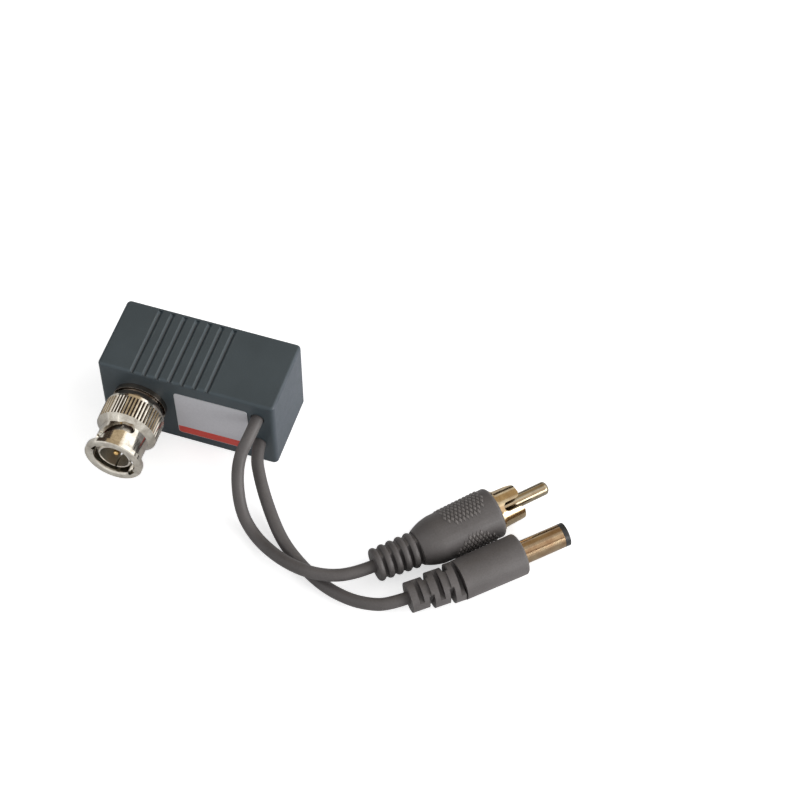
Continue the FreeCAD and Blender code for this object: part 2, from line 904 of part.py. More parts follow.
def rounded_route(points):
    """Straight runs joined by tangent arcs, each as large as its two runs allow."""
    edges = []
    radii = []
    start = points[0]
    for before, corner, after in zip(points, points[1:], points[2:]):
        back = (before - corner).normalize()
        ahead = (after - corner).normalize()
        reach = cord_arc_share * min((before - corner).Length, (after - corner).Length)
        half_turn = (math.pi - back.getAngle(ahead)) / 2
        radius = reach / math.tan(half_turn)
        toward_center = (back + ahead).normalize()
        inset = radius / math.cos(half_turn) - radius
        arc_start = corner + back * reach
        arc_end = corner + ahead * reach
        edges.append(Part.LineSegment(start, arc_start).toShape())
        edges.append(Part.Arc(arc_start, corner + toward_center * inset, arc_end).toShape())
        radii.append(radius)
        start = arc_end
    edges.append(Part.LineSegment(start, points[-1]).toShape())
    return Part.Wire(edges), radii


def cord(name, exit_z, straight, route, joint, forward, boot_length, lead):
    """Cord from its inner end, straight out through the wall, then along its route to the plug."""
    tail = joint - forward * boot_length
    entry = tail - forward * lead
    start = Vector(cord_exit_x, cord_inner_end, exit_z)
    straight_end = Vector(cord_exit_x, front_y - straight, exit_z)
    outside = [cord_foot + Vector(*point) for point in route]
    path, radii = rounded_route([start, straight_end] + outside + [entry, tail])
    section = Part.Wire([Part.Circle(start, Y_AXIS, cord_radius).toShape()])
    solid = path.makePipeShell([section], True, True)
    expected = math.pi * cord_radius**2 * path.Length
    print(name, "radii", [round(radius, 1) for radius in radii])
    print(name, "length", round(path.Length, 1), "volume ratio", round(solid.Volume / expected, 5))
    return solid


def cord_tie(exit_z):
    """Strap pulled tight round the cord against the inside of the front wall."""
    inner_wall = front_y + wall
    base = Vector(cord_exit_x, inner_wall, exit_z)
    strap = cylinder(cord_radius + tie_wall, tie_width, base, Y_AXIS)
    head_x = cord_exit_x - cord_radius - tie_head_length / 2
    head_low = exit_z - tie_head_height / 2
    head = box(tie_head_length, head_x, inner_wall, head_low, tie_width, tie_head_height)
    return strap.fuse(head).cut(cylinder(cord_radius, tie_width, base, Y_AXIS)).removeSplitter()


def phono_boot():
    """Strain relief with five rounded ridges, upright below the joint, and its core above it.

    Each notch between two ridges is shallow all round and deepens into a flat-bottomed window on
    two opposite sides, so that the cord's end can bend.
    """
    pitch = phono_boot_length / phono_ridge_count
    low = -phono_boot_length
    ridge = phono_ridge_radius
    reach = 2 * phono_shoulder_radius
    windows = []
    edges = [line((0, low), (ridge - phono_ridge_crown, low))]
    for index in range(phono_ridge_count):
        edge = ridge - phono_ridge_crown
        high = low + pitch - phono_ridge_gap
        root = ridge - phono_groove_depth
        edges.append(arc((edge, low), (ridge, (low + high) / 2), (edge, high)))
        edges.append(line((edge, high), (root, high)))
        for side in (phono_window_core, -phono_window_core - reach):
            corner = Vector(-reach / 2, side, high)
            windows.append(Part.makeBox(reach, reach, phono_ridge_gap, corner))
        low += pitch
        ridge += phono_ridge_growth
        if index < phono_ridge_count - 1:
            edges.append(line((root, high), (root, low)))
            edges.append(line((root, low), (ridge - phono_ridge_crown, low)))
    edges.append(line((root, high), (root, boot_core_overlap)))
    edges.append(line((root, boot_core_overlap), (0, boot_core_overlap)))
    edges.append(line((0, boot_core_overlap), (0, -phono_boot_length)))
    return turned_edges(edges).cut(windows)


def phono_body():
    """Moulded grip with its strain relief, hollow where the metal shell and pin are seated."""
    flare_start = (phono_shoulder_radius, 0)
    flare_end = (phono_back_radius, phono_back_place)
    edges = [line((0, 0), flare_start)]
    edges.append(arc(flare_start, (phono_flare_radius, phono_flare_place), flare_end))
    edges.append(line(flare_end, (phono_front_radius, phono_length - phono_front_round)))
    edges.append(quarter_round(phono_front_radius, phono_length, phono_front_round))
    edges.append(line((phono_front_radius - phono_front_round, phono_length), (0, phono_length)))
    edges.append(line((0, phono_length), (0, 0)))
    seat_base = Vector(0, 0, phono_length - phono_shell_seat)
    seat = cylinder(phono_shell_radius, phono_shell_seat, seat_base)
    pin_base = Vector(0, 0, phono_length - phono_pin_seat)
    pin_hole = cylinder(phono_pin_radius, phono_pin_seat, pin_base)
    grip = on_phono_axis(turned_edges(edges).cut([seat, pin_hole]))
    bent = phono_heading - phono_bend
    boot = laid_down(phono_boot(), phono_joint, bent, phono_rise, phono_boot_roll)
    return grip.fuse(boot).removeSplitter()


def phono_leaf_gap(tip):
    """Cutter for one slot: round at its bottom, flared at the tip to round the leaves' corners."""
    half = phono_slot_width / 2
    bottom = tip - phono_slot_reach + half
    corner = phono_leaf_corner
    bulge = corner * (1 - math.sqrt(0.5))
    flare = tip - corner
    edges = [
        arc((-half, bottom), (0, bottom - half), (half, bottom)),
        line((half, bottom), (half, flare)),
        arc((half, flare), (half + bulge, tip - bulge), (half + corner, tip)),
        line((half + corner, tip), (-half - corner, tip)),
        arc((-half - corner, tip), (-half - bulge, tip - bulge), (-half, flare)),
        line((-half, flare), (-half, bottom)),
    ]
    face = Part.Face(Part.Wire(Part.__sortEdges__(edges)))
    return face.extrude(Y_AXIS * phono_collar_radius)


def phono_shell():
    """Slotted metal shell, drawn in towards its mouth, with a thin collar against the grip."""
    rear = phono_length - phono_shell_seat
    tip = phono_length + phono_shell_reach
    collar_front = phono_length + phono_collar_thickness
    outer = phono_shell_radius
    inner = phono_shell_radius - phono_shell_wall
    outline = [
        (inner, rear),
        (outer, rear),
        (outer, phono_length),
        (phono_collar_radius, phono_length),
        (phono_collar_radius, collar_front),
        (outer, collar_front),
        (outer - phono_shell_taper, tip),
        (inner - phono_shell_taper, tip),
        (inner, collar_front),
    ]
    slot = phono_leaf_gap(tip)
    slots = [spun(slot, 360 / phono_slot_count * index) for index in range(phono_slot_count)]
    return on_phono_axis(turned(outline).cut(slots))


def phono_insulator():
    inner = phono_shell_radius - phono_shell_wall
    rear = phono_length - phono_shell_seat
    seated = tube(inner, phono_pin_radius, phono_shell_seat, Vector(0, 0, rear))
    nose_outer = inner - phono_shell_taper
    nose_base = Vector(0, 0, phono_length)
    nose = tube(nose_outer, phono_pin_radius, phono_insulator_front, nose_base)
    return on_phono_axis(seated.fuse(nose).removeSplitter())


def phono_pin():
    rear = phono_length - phono_pin_seat
    tip = phono_length + phono_pin_reach
    edges = [
        line((0, rear), (phono_pin_radius, rear)),
        line((phono_pin_radius, rear), (phono_pin_radius, tip - phono_pin_round)),
        quarter_round(phono_pin_radius, tip, phono_pin_round),
        line((phono_pin_radius - phono_pin_round, tip), (0, tip)),
        line((0, tip), (0, rear)),
    ]
    return on_phono_axis(turned_edges(edges))


def barrel_slot_places():
    """Middle of each cut in the strain relief; the last one ends at the joint."""
    first = barrel_slot_first - barrel_boot_length
    last = -barrel_slot_width / 2
    step = (last - first) / (barrel_slot_count - 1)
    return [first + index * step for index in range(barrel_slot_count)]


def barrel_boot():
    """Three stepped discs whose paired cuts, each a quarter turn on, let the cord's end bend."""
    places = barrel_slot_places()
    ends = [places[index] for index in barrel_disc_slots] + [0]
    low = -barrel_boot_length
    outline = [(0, low)]
    for radius, end in zip(barrel_disc_radii, ends):
        outline += [(radius, low), (radius, end)]
        low = end
    outline += [(barrel_slot_core, 0), (barrel_slot_core, boot_core_overlap), (0, boot_core_overlap)]
    reach = 2 * barrel_front_radius
    cuts = []
    for index, place in enumerate(places):
        for low in (barrel_slot_core, -barrel_slot_core - reach):
            corner = Vector(-reach / 2, low, place - barrel_slot_width / 2)
            cut = Part.makeBox(reach, reach, barrel_slot_width, corner)
            cuts.append(spun(cut, 90 * (index % 2)))
    return turned(outline).cut(cuts)


def barrel_body():
    """Moulded grip with its strain relief, hollow where the metal tube is seated."""
    front_edge = barrel_length - barrel_front_round
    edges = [
        line((0, 0), (barrel_back_radius, 0)),
        line((barrel_back_radius, 0), (barrel_front_radius, front_edge)),
        quarter_round(barrel_front_radius, barrel_length, barrel_front_round),
        line((barrel_front_radius - barrel_front_round, barrel_length), (0, barrel_length)),
        line((0, barrel_length), (0, 0)),
    ]
    seat_base = Vector(0, 0, barrel_length - barrel_tube_seat)
    seat = cylinder(barrel_seat_radius, barrel_tube_seat, seat_base)
    grip = on_barrel_axis(turned_edges(edges).cut(seat))
    bent = barrel_heading - barrel_bend
    boot = laid_down(barrel_boot(), barrel_joint, bent, barrel_rise, barrel_roll)
    return grip.fuse(boot).removeSplitter()


def barrel_tube():
    """Metal tube with a wider foot held in the grip."""
    rear = barrel_length - barrel_tube_seat
    mouth = barrel_length + barrel_tube_reach
    inner = barrel_tube_radius - barrel_tube_wall
    outline = [
        (inner, rear),
        (barrel_seat_radius, rear),
        (barrel_seat_radius, barrel_length),
        (barrel_tube_radius, barrel_length),
        (barrel_tube_radius, mouth),
        (inner, mouth),
    ]
    return on_barrel_axis(turned(outline))


def barrel_tip():
    """Black insulator that lines the tube and shows as a ring at its mouth."""
    rear = barrel_length - barrel_tube_seat
    mouth = barrel_length + barrel_tube_reach
    inner = barrel_tube_radius - barrel_tube_wall
    liner_inner = inner - barrel_insulation_wall
    lining = tube(inner, liner_inner, mouth - rear, Vector(0, 0, rear))
    ring = tube(barrel_tube_radius, liner_inner, barrel_tip_length, Vector(0, 0, mouth))
    return on_barrel_axis(lining.fuse(ring).removeSplitter())


def barrel_inner_contact():
    rear = barrel_length - barrel_tube_seat
    outer = barrel_tube_radius - barrel_tube_wall - barrel_insulation_wall
    length = barrel_tube_seat + barrel_tube_reach
    return on_barrel_axis(tube(outer, barrel_bore_radius, length, Vector(0, 0, rear)))


def build():
    contacts = [socket_contact(index) for index in range(contact_count)]
    parts = {
        "housing": housing(),
        "base_cover": base_cover(),
        "circuit_board": circuit_board(),
        "label": label(),
        "socket_housing": jack_housing(),
        "socket_contact_block": contact_block(contacts),
        "bayonet_plug_body": plug_body(),
        "bayonet_insulator": plug_insulator(),
        "bayonet_center_pin": plug_center_pin(),
        "bayonet_gasket": plug_gasket(),
        "bayonet_panel_nut": panel_nut(),
        "bayonet_retaining_ring": retaining_ring(),
        "bayonet_thrust_washer": thrust_washer(),
        "bayonet_coupling_nut": coupling_nut(),
        "bayonet_nut_end_ring": nut_end_ring(),
        "balun_core": balun_core(),
        "balun_winding_input": balun_winding(90),
        "balun_winding_output": balun_winding(270),
        "audio_cord_tie": cord_tie(audio_exit_z),
        "power_cord_tie": cord_tie(power_exit_z),
        "phono_plug_body": phono_body(),
        "phono_plug_shell": phono_shell(),
        "phono_plug_insulator": phono_insulator(),
        "phono_plug_pin": phono_pin(),
        "power_plug_body": barrel_body(),
        "power_plug_barrel": barrel_tube(),
        "power_plug_tip_insulator": barrel_tip(),
        "power_plug_inner_contact": barrel_inner_contact(),
    }
    for index, contact in enumerate(contacts):
        parts[f"socket_contact_{index + 1}"] = contact
    front_cone = spring_rear + spring_length / 2
    parts["bayonet_spring_washer_rear"] = spring_washer(spring_rear, False)
    parts["bayonet_spring_washer_front"] = spring_washer(front_cone, True)
    pin_end = Vector(plug_x, front_y + pin_rear, plug_height)
    parts["video_wire"] = drop_wire(pin_end, 0.4 * wire_bend)
    for side, pole in ((-1, "signal"), (1, "shield")):
        start = Vector(cord_exit_x + side * core_spacing, cord_inner_end, audio_exit_z)
        parts[f"audio_wire_{pole}"] = drop_wire(start, audio_core_run)
    for side, pole in ((-1, "positive"), (1, "negative")):
        start = Vector(cord_exit_x + side * core_spacing, cord_inner_end, power_exit_z)
        parts[f"power_wire_{pole}"] = drop_wire(start, power_core_run)
    into_phono = heading_vector(phono_heading - phono_bend, phono_rise)
    parts["audio_cord"] = cord(
        "audio_cord",
        audio_exit_z,
        audio_straight,
        audio_route,
        phono_joint,
        into_phono,
        phono_boot_length,
        phono_lead,
    )
    into_barrel = heading_vector(barrel_heading - barrel_bend, barrel_rise)
    parts["power_cord"] = cord(
        "power_cord",
        power_exit_z,
        power_straight,
        power_route,
        barrel_joint,
        into_barrel,
        barrel_boot_length,
        barrel_lead,
    )
    return parts


os.makedirs("parts", exist_ok=True)
for node, solid in build().items():
    solid.exportStep(f"parts/{node}.step")
    print(node, len(solid.Solids), "solid", round(solid.Volume, 2), "mm3", solid.isValid())
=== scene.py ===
import json
import math

import bmesh
import bpy
from mathutils import Matrix, Vector


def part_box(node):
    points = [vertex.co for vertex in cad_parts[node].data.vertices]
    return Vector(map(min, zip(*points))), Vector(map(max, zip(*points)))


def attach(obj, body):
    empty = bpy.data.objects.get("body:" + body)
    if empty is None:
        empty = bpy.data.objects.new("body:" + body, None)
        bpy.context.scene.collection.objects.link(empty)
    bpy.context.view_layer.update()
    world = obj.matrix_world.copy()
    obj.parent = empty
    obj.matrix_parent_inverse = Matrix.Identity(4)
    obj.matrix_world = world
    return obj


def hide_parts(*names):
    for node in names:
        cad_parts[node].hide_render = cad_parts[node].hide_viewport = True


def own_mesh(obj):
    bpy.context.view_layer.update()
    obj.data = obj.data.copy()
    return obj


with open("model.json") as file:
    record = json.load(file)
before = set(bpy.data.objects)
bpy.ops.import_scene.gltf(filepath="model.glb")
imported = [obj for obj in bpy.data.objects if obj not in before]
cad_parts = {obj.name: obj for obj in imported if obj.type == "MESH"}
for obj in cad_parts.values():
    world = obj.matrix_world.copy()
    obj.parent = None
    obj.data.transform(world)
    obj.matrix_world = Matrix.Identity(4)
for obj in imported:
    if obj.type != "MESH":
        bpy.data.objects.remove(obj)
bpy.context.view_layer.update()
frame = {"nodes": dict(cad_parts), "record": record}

# The part is a small moulded box with a bayonet video plug on its front wall, two short vinyl
# cords that end in a phono plug and a barrel power plug, and a modular socket in its back wall.
# Lengths are metres unless a name ends in _mm; MM turns millimetres into metres.

MM = 0.001
nodes = frame["nodes"]
record = frame["record"]
body_of_node = {
    node: body for body, members in record["behaviour"]["bodies"].items() for node in members
}


def per_metre(size_mm):
    """Pattern scale that gives one cell or grain in each size_mm."""
    return 1000 / size_mm


def hex_color(code):
    """Linear colour with alpha from an sRGB hex string such as 5f8ea1."""
    linear = []
    for start in (0, 2, 4):
        value = int(code[start : start + 2], 16) / 255
        linear.append(value / 12.92 if value <= 0.04045 else ((value + 0.055) / 1.055) ** 2.4)
    return (*linear, 1.0)


def add(tree, kind, settings=None, inputs=None):
    """Adds a node; settings are its properties, inputs are values or the sockets that feed it."""
    made = tree.nodes.new(kind)
    for name, value in (settings or {}).items():
        setattr(made, name, value)
    for name, value in (inputs or {}).items():
        socket = made.inputs[name]
        if isinstance(value, bpy.types.NodeSocket):
            tree.links.new(value, socket)
        else:
            socket.default_value = value
    return made


def new_piece(name, data, body, slot, *replaced):
    """Object at the origin that rides on a body and stands for the CAD nodes it replaces."""
    piece = bpy.data.objects.new(name, data)
    bpy.context.scene.collection.objects.link(piece)
    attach(piece, body)
    if replaced:
        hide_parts(*replaced)
    return piece


# Camera, fitted to the photo's view from the front right and above

camera_data = bpy.data.cameras.new("camera")
camera_data.sensor_width = 36.0
camera_data.lens = 105.35
camera_data.clip_start = 0.01
camera_data.clip_end = 20.0
camera = bpy.data.objects.new("camera", camera_data)
camera.location = Vector((141.894, -286.458, 456.485)) * MM
camera_direction = Vector((-0.17745, 0.54394, -0.82015))
camera.rotation_euler = camera_direction.to_track_quat("-Z", "Y").to_euler()
bpy.context.scene.collection.objects.link(camera)
bpy.context.scene.camera = camera


# Materials

def surface(name, color, roughness, metallic=0.0):
    """Material with one plain shader; returns it with its tree, shader and place on the object."""
    material = bpy.data.materials.new(name)
    material.use_nodes = True
    tree = material.node_tree
    shader = tree.nodes["Principled BSDF"]
    shader.inputs["Base Color"].default_value = hex_color(color)
    shader.inputs["Roughness"].default_value = roughness
    shader.inputs["Metallic"].default_value = metallic
    place = add(tree, "ShaderNodeTexCoord").outputs["Object"]
    return material, tree, shader, place


def moulded(name, dark, light, grain_mm, relief_mm, roughness):
    """Moulded or sintered material: a fine grain in shade, gloss and relief over slow clouds."""
    material, tree, shader, place = surface(name, dark, roughness)
    cloud_mm = 9.0
    gloss_swing = 0.08
    grain = add(
        tree,
        "ShaderNodeTexNoise",
        inputs={"Vector": place, "Scale": per_metre(grain_mm), "Detail": 3.0},
    )
    clouds = add(
        tree,
        "ShaderNodeTexNoise",
        inputs={"Vector": place, "Scale": per_metre(cloud_mm), "Detail": 2.0},
    )
    blend = add(
        tree,
        "ShaderNodeMath",
        {"operation": "MULTIPLY_ADD"},
        {0: grain.outputs["Fac"], 1: 0.6, 2: clouds.outputs["Fac"]},
    )
    shade = add(
        tree,
        "ShaderNodeMapRange",
        inputs={"Value": blend.outputs[0], "From Min": 0.5, "From Max": 1.1},
    )
    tint = add(
        tree,
        "ShaderNodeMixRGB",
        inputs={"Fac": shade.outputs[0], "Color1": hex_color(dark), "Color2": hex_color(light)},
    )
    gloss = add(
        tree,
        "ShaderNodeMapRange",
        inputs={
            "Value": grain.outputs["Fac"],
            "To Min": roughness - gloss_swing,
            "To Max": roughness + gloss_swing,
        },
    )
    relief = add(
        tree,
        "ShaderNodeBump",
        inputs={"Height": grain.outputs["Fac"], "Strength": 0.5, "Distance": relief_mm * MM},
    )
    tree.links.new(tint.outputs[0], shader.inputs["Base Color"])
    tree.links.new(gloss.outputs[0], shader.inputs["Roughness"])
    tree.links.new(relief.outputs[0], shader.inputs["Normal"])
    return material


def paint_groove_light_and_shade(material, lip_highlight_color, groove_shade_color, grooves):
    """Paints a highlight on the two lips of each finger groove and paints shade in the groove
    towards its bottom.
    """
    lip_half_width = 0.1 * MM
    floor_level = grooves["top"] - 1.05 * grooves["depth"]
    dark_level = grooves["top"] - 0.75 * grooves["depth"]
    unshaded_level = grooves["top"] - 0.45 * grooves["depth"]
    tree = material.node_tree
    shader = tree.nodes["Principled BSDF"]
    base = shader.inputs["Base Color"].links[0].from_socket
    place = add(tree, "ShaderNodeTexCoord").outputs["Object"]
    axes = add(tree, "ShaderNodeSeparateXYZ", inputs={"Vector": place})
    along = add(
        tree,
        "ShaderNodeMath",
        {"operation": "SUBTRACT"},
        {0: axes.outputs["X"], 1: grooves["first_x"]},
    )
    from_groove = add(
        tree,
        "ShaderNodeMath",
        {"operation": "PINGPONG"},
        {0: along.outputs[0], 1: grooves["pitch"] / 2},
    )
    on_lip = add(
        tree,
        "ShaderNodeMath",
        {"operation": "COMPARE"},
        {0: from_groove.outputs[0], 1: grooves["half_width"], 2: lip_half_width},
    )
    in_groove = add(
        tree,
        "ShaderNodeMath",
        {"operation": "LESS_THAN"},
        {0: from_groove.outputs[0], 1: grooves["half_width"]},
    )
    in_range = add(
        tree,
        "ShaderNodeMath",
        {"operation": "COMPARE"},
        {
            0: axes.outputs["X"],
            1: (grooves["first_x"] + grooves["last_x"]) / 2,
            2: (grooves["last_x"] - grooves["first_x"]) / 2 + 2 * grooves["half_width"],
        },
    )
    before_end = add(
        tree,
        "ShaderNodeMath",
        {"operation": "LESS_THAN"},
        {0: axes.outputs["Y"], 1: grooves["end_y"]},
    )
    on_top = add(
        tree,
        "ShaderNodeMath",
        {"operation": "GREATER_THAN"},
        {0: axes.outputs["Z"], 1: floor_level},
    )
    off_walls = add(
        tree,
        "ShaderNodeMath",
        {"operation": "MULTIPLY"},
        {0: on_top.outputs[0], 1: before_end.outputs[0]},
    )
    ranged = add(
        tree,
        "ShaderNodeMath",
        {"operation": "MULTIPLY"},
        {0: in_range.outputs[0], 1: off_walls.outputs[0]},
    )
    # Painted highlight on the groove lips, in patches.
    patchy = add(
        tree,
        "ShaderNodeTexNoise",
        inputs={"Vector": place, "Scale": per_metre(1.6), "Detail": 3.0},
    )
    light_patches = add(
        tree,
        "ShaderNodeMapRange",
        inputs={"Value": patchy.outputs["Fac"], "From Min": 0.3, "From Max": 0.7, "To Max": 0.55},
    )
    # Painted shade, deepest near the groove's bottom.
    groove_shade = add(
        tree,
        "ShaderNodeMapRange",
        inputs={
            "Value": axes.outputs["Z"],
            "From Min": dark_level,
            "From Max": unshaded_level,
            "To Min": 0.8,
            "To Max": 0.0,
        },
    )
    tint = base
    for shape, strength, color in (
        (in_groove, groove_shade, groove_shade_color),
        (on_lip, light_patches, lip_highlight_color),
    ):
        area = add(
            tree,
            "ShaderNodeMath",
            {"operation": "MULTIPLY"},
            {0: shape.outputs[0], 1: ranged.outputs[0]},
        )
        amount = add(
            tree,
            "ShaderNodeMath",
            {"operation": "MULTIPLY"},
            {0: area.outputs[0], 1: strength.outputs[0]},
        )
        tint = add(
            tree,
            "ShaderNodeMixRGB",
            inputs={"Fac": amount.outputs[0], "Color1": tint, "Color2": hex_color(color)},
        ).outputs[0]
    tree.links.new(tint, shader.inputs["Base Color"])


def paint_end_wall_light(material, color, end):
    """Paints light on the end wall, whose place along X is end, in soft pale patches."""
    edge_round = 0.6 * MM
    wall_draft = 0.1 * MM
    tree = material.node_tree
    shader = tree.nodes["Principled BSDF"]
    base = shader.inputs["Base Color"].links[0].from_socket
    place = add(tree, "ShaderNodeTexCoord").outputs["Object"]
    axes = add(tree, "ShaderNodeSeparateXYZ", inputs={"Vector": place})
    on_end = add(
        tree,
        "ShaderNodeMapRange",
        inputs={
            "Value": axes.outputs["X"],
            "From Min": end - edge_round,
            "From Max": end - wall_draft,
        },
    )
    # Patches of painted light on the end wall.
    patchy = add(
        tree,
        "ShaderNodeTexNoise",
        inputs={"Vector": place, "Scale": per_metre(2.4), "Detail": 4.0},
    )
    light_patches = add(
        tree,
        "ShaderNodeMapRange",
        inputs={
            "Value": patchy.outputs["Fac"],
            "From Min": 0.3,
            "From Max": 0.7,
            "To Min": 0.3,
            "To Max": 0.9,
        },
    )
    amount = add(
        tree,
        "ShaderNodeMath",
        {"operation": "MULTIPLY"},
        {0: on_end.outputs[0], 1: light_patches.outputs[0]},
    )
    tint = add(
        tree,
        "ShaderNodeMixRGB",
        inputs={"Fac": amount.outputs[0], "Color1": base, "Color2": hex_color(color)},
    )
    tree.links.new(tint.outputs[0], shader.inputs["Base Color"])


def plated(name, color, tarnish, roughness, polish_mm):
    """Bright plate over turned metal: mirror-like, with polishing marks and thin handling haze."""
    material, tree, shader, place = surface(name, color, roughness, 1.0)
    haze = add(
        tree,
        "ShaderNodeTexNoise",
        inputs={"Vector": place, "Scale": per_metre(2.2), "Detail": 4.0, "Roughness": 0.65},
    )
    patches = add(
        tree,
        "ShaderNodeMapRange",
        inputs={"Value": haze.outputs["Fac"], "From Min": 0.35, "From Max": 0.7},
    )
    marks = add(
        tree,
        "ShaderNodeTexNoise",
        inputs={"Vector": place, "Scale": per_metre(polish_mm), "Detail": 2.0},
    )
    tint = add(
        tree,
        "ShaderNodeMixRGB",
        inputs={
            "Fac": patches.outputs[0],
            "Color1": hex_color(color),
            "Color2": hex_color(tarnish),
        },
    )
    gloss = add(
        tree,
        "ShaderNodeMapRange",
        inputs={
            "Value": haze.outputs["Fac"],
            "To Min": 0.6 * roughness,
            "To Max": 1.5 * roughness,
        },
    )
    ripple = add(
        tree,
        "ShaderNodeBump",
        inputs={"Height": marks.outputs["Fac"], "Strength": 0.3, "Distance": 0.006 * MM},
    )
    tree.links.new(tint.outputs[0], shader.inputs["Base Color"])
    tree.links.new(gloss.outputs[0], shader.inputs["Roughness"])
    tree.links.new(ripple.outputs[0], shader.inputs["Normal"])
    return material


def paint_knurl_root_shade(material, color, axis, root, crest, middle, half_length):
    """Paints shade on plate towards the roots of a knurl round an axis along Y."""
    tree = material.node_tree
    shader = tree.nodes["Principled BSDF"]
    base = shader.inputs["Base Color"].links[0].from_socket
    place = add(tree, "ShaderNodeTexCoord").outputs["Object"]
    centred = add(
        tree,
        "ShaderNodeVectorMath",
        {"operation": "SUBTRACT"},
        {0: place, 1: (axis.x, 0.0, axis.z)},
    )
    across = add(
        tree,
        "ShaderNodeVectorMath",
        {"operation": "MULTIPLY"},
        {0: centred.outputs[0], 1: (1.0, 0.0, 1.0)},
    )
    radius = add(tree, "ShaderNodeVectorMath", {"operation": "LENGTH"}, {0: across.outputs[0]})
    depth = add(
        tree,
        "ShaderNodeMapRange",
        inputs={"Value": radius.outputs["Value"], "From Min": crest, "From Max": root},
    )
    axes = add(tree, "ShaderNodeSeparateXYZ", inputs={"Vector": place})
    on_knurl = add(
        tree,
        "ShaderNodeMath",
        {"operation": "COMPARE"},
        {0: axes.outputs["Y"], 1: middle, 2: half_length},
    )
    amount = add(
        tree,
        "ShaderNodeMath",
        {"operation": "MULTIPLY"},
        {0: depth.outputs[0], 1: on_knurl.outputs[0]},
    )
    tint = add(
        tree,
        "ShaderNodeMixRGB",
        inputs={"Fac": amount.outputs[0], "Color1": base, "Color2": hex_color(color)},
    )
    tree.links.new(tint.outputs[0], shader.inputs["Base Color"])


def paint_flange_shade(material, color, roughness, front, rear):
    """Fades plate into dark glossy painted shade from front to rear, which are places along Y."""
    tree = material.node_tree
    shader = tree.nodes["Principled BSDF"]
    base = shader.inputs["Base Color"].links[0].from_socket
    gloss = shader.inputs["Roughness"].links[0].from_socket
    place = add(tree, "ShaderNodeTexCoord").outputs["Object"]
    axes = add(tree, "ShaderNodeSeparateXYZ", inputs={"Vector": place})
    amount = add(
        tree,
        "ShaderNodeMapRange",
        inputs={"Value": axes.outputs["Y"], "From Min": front, "From Max": rear},
    )
    tint = add(
        tree,
        "ShaderNodeMixRGB",
        inputs={"Fac": amount.outputs[0], "Color1": base, "Color2": hex_color(color)},
    )
    dulled = add(
        tree,
        "ShaderNodeMapRange",
        inputs={"Value": amount.outputs[0], "To Min": gloss, "To Max": roughness},
    )
    tree.links.new(tint.outputs[0], shader.inputs["Base Color"])
    tree.links.new(dulled.outputs[0], shader.inputs["Roughness"])


def lined(name, dark, light, spacing_mm, roughness, metallic, direction):
    """Fine parallel lines with soft valleys, as wire turns or glass threads lie side by side."""
    material, tree, shader, place = surface(name, light, roughness, metallic)
    # At scale 1 the wave turns through 20 radians per metre.
    wave_scale = 2 * math.pi * per_metre(spacing_mm) / 20
    lines = add(
        tree,
        "ShaderNodeTexWave",
        {"bands_direction": direction},
        {"Vector": place, "Scale": wave_scale, "Distortion": 0.4, "Detail": 1.0},
    )
    tint = add(
        tree,
        "ShaderNodeMixRGB",
        inputs={
            "Fac": lines.outputs["Fac"],
            "Color1": hex_color(dark),
            "Color2": hex_color(light),
        },
    )
    relief = add(
        tree,
        "ShaderNodeBump",
        inputs={
            "Height": lines.outputs["Fac"],
            "Strength": 0.6,
            "Distance": 0.25 * spacing_mm * MM,
        },
    )
    tree.links.new(tint.outputs[0], shader.inputs["Base Color"])
    tree.links.new(relief.outputs[0], shader.inputs["Normal"])
    return material


# Spark-eroded mould: an even matt grain that greys the blue. The real grain is about 0.1 mm; it
# is drawn coarser so that it shows.
box_abs = moulded("spark_eroded_abs_slate", "313c42", "3c474d", 0.3, 0.035, 0.46)
# Black engineering nylon, a little glossier than the box, as it comes from a polished mould.
black_nylon = moulded("moulded_nylon_black", "131416", "1c1d1f", 0.3, 0.015, 0.38)
# Flexible vinyl: satin, warm grey, with a faint skin from extrusion and moulding.
vinyl = moulded("flexible_vinyl_warm_grey", "494544", "5f5b5a", 0.38, 0.05, 0.54)
# Fluoropolymer: waxy white with hardly any grain.
white_ptfe = moulded("turned_fluoropolymer_white", "dddad2", "eceae4", 0.5, 0.008, 0.4)
# Silicone rubber washer: dull red with a soft sheen.
red_silicone = moulded("pressed_silicone_red", "86301f", "9c3f2e", 0.4, 0.01, 0.55)
# Sintered ferrite: dull charcoal with open pores.
ferrite = moulded("sintered_ferrite_charcoal", "26282a", "37393b", 0.35, 0.05, 0.7)
# Thin vinyl wire insulation, glossier than the cords.
red_vinyl = moulded("wire_vinyl_red", "9a231f", "ad302a", 0.6, 0.01, 0.35)
black_vinyl = moulded("wire_vinyl_black", "161618", "222224", 0.6, 0.01, 0.35)
# Natural nylon ties: milky and slightly glossy.
natural_nylon = moulded("moulded_nylon_natural", "cfccc0", "dfdcd2", 0.8, 0.01, 0.4)
# Bright nickel on turned brass: a clean mirror, neutral with a trace of yellow.
nickel = plated("bright_nickel_plate", "d8d3c8", "a59d91", 0.13, 0.35)
# The cord plugs have a thinner, warmer plate over drawn brass, which shows through as champagne.
warm_nickel = plated("thin_nickel_on_drawn_brass", "c6b494", "ab9678", 0.15, 0.3)
# The barrel's plate is a darker, browner copy of the shell's.
browner_nickel = plated("worn_nickel_on_turned_brass", "9f8c71", "886f56", 0.17, 0.3)
# Gold flash on the contacts: warm and smooth.
gold = plated("gold_flash_plate", "e6c68c", "cba468", 0.16, 0.4)
# Stamped spring steel: grey and a little rougher than the plate.
spring_steel = plated("stamped_spring_steel", "b4b3b0", "8f8e8b", 0.28, 0.25)
# Hot-tinned copper: pale, soft and uneven.
tin = plated("hot_tinned_copper", "c9c5ba", "a8a296", 0.32, 0.5)
# Enamelled copper wire wound turn by turn: red-brown ridges 0.35 mm apart with painted shade in
# the gaps between them.
copper_turns = lined("enamelled_copper_turns", "4a2012", "b4602f", 0.35, 0.3, 1.0, "X")
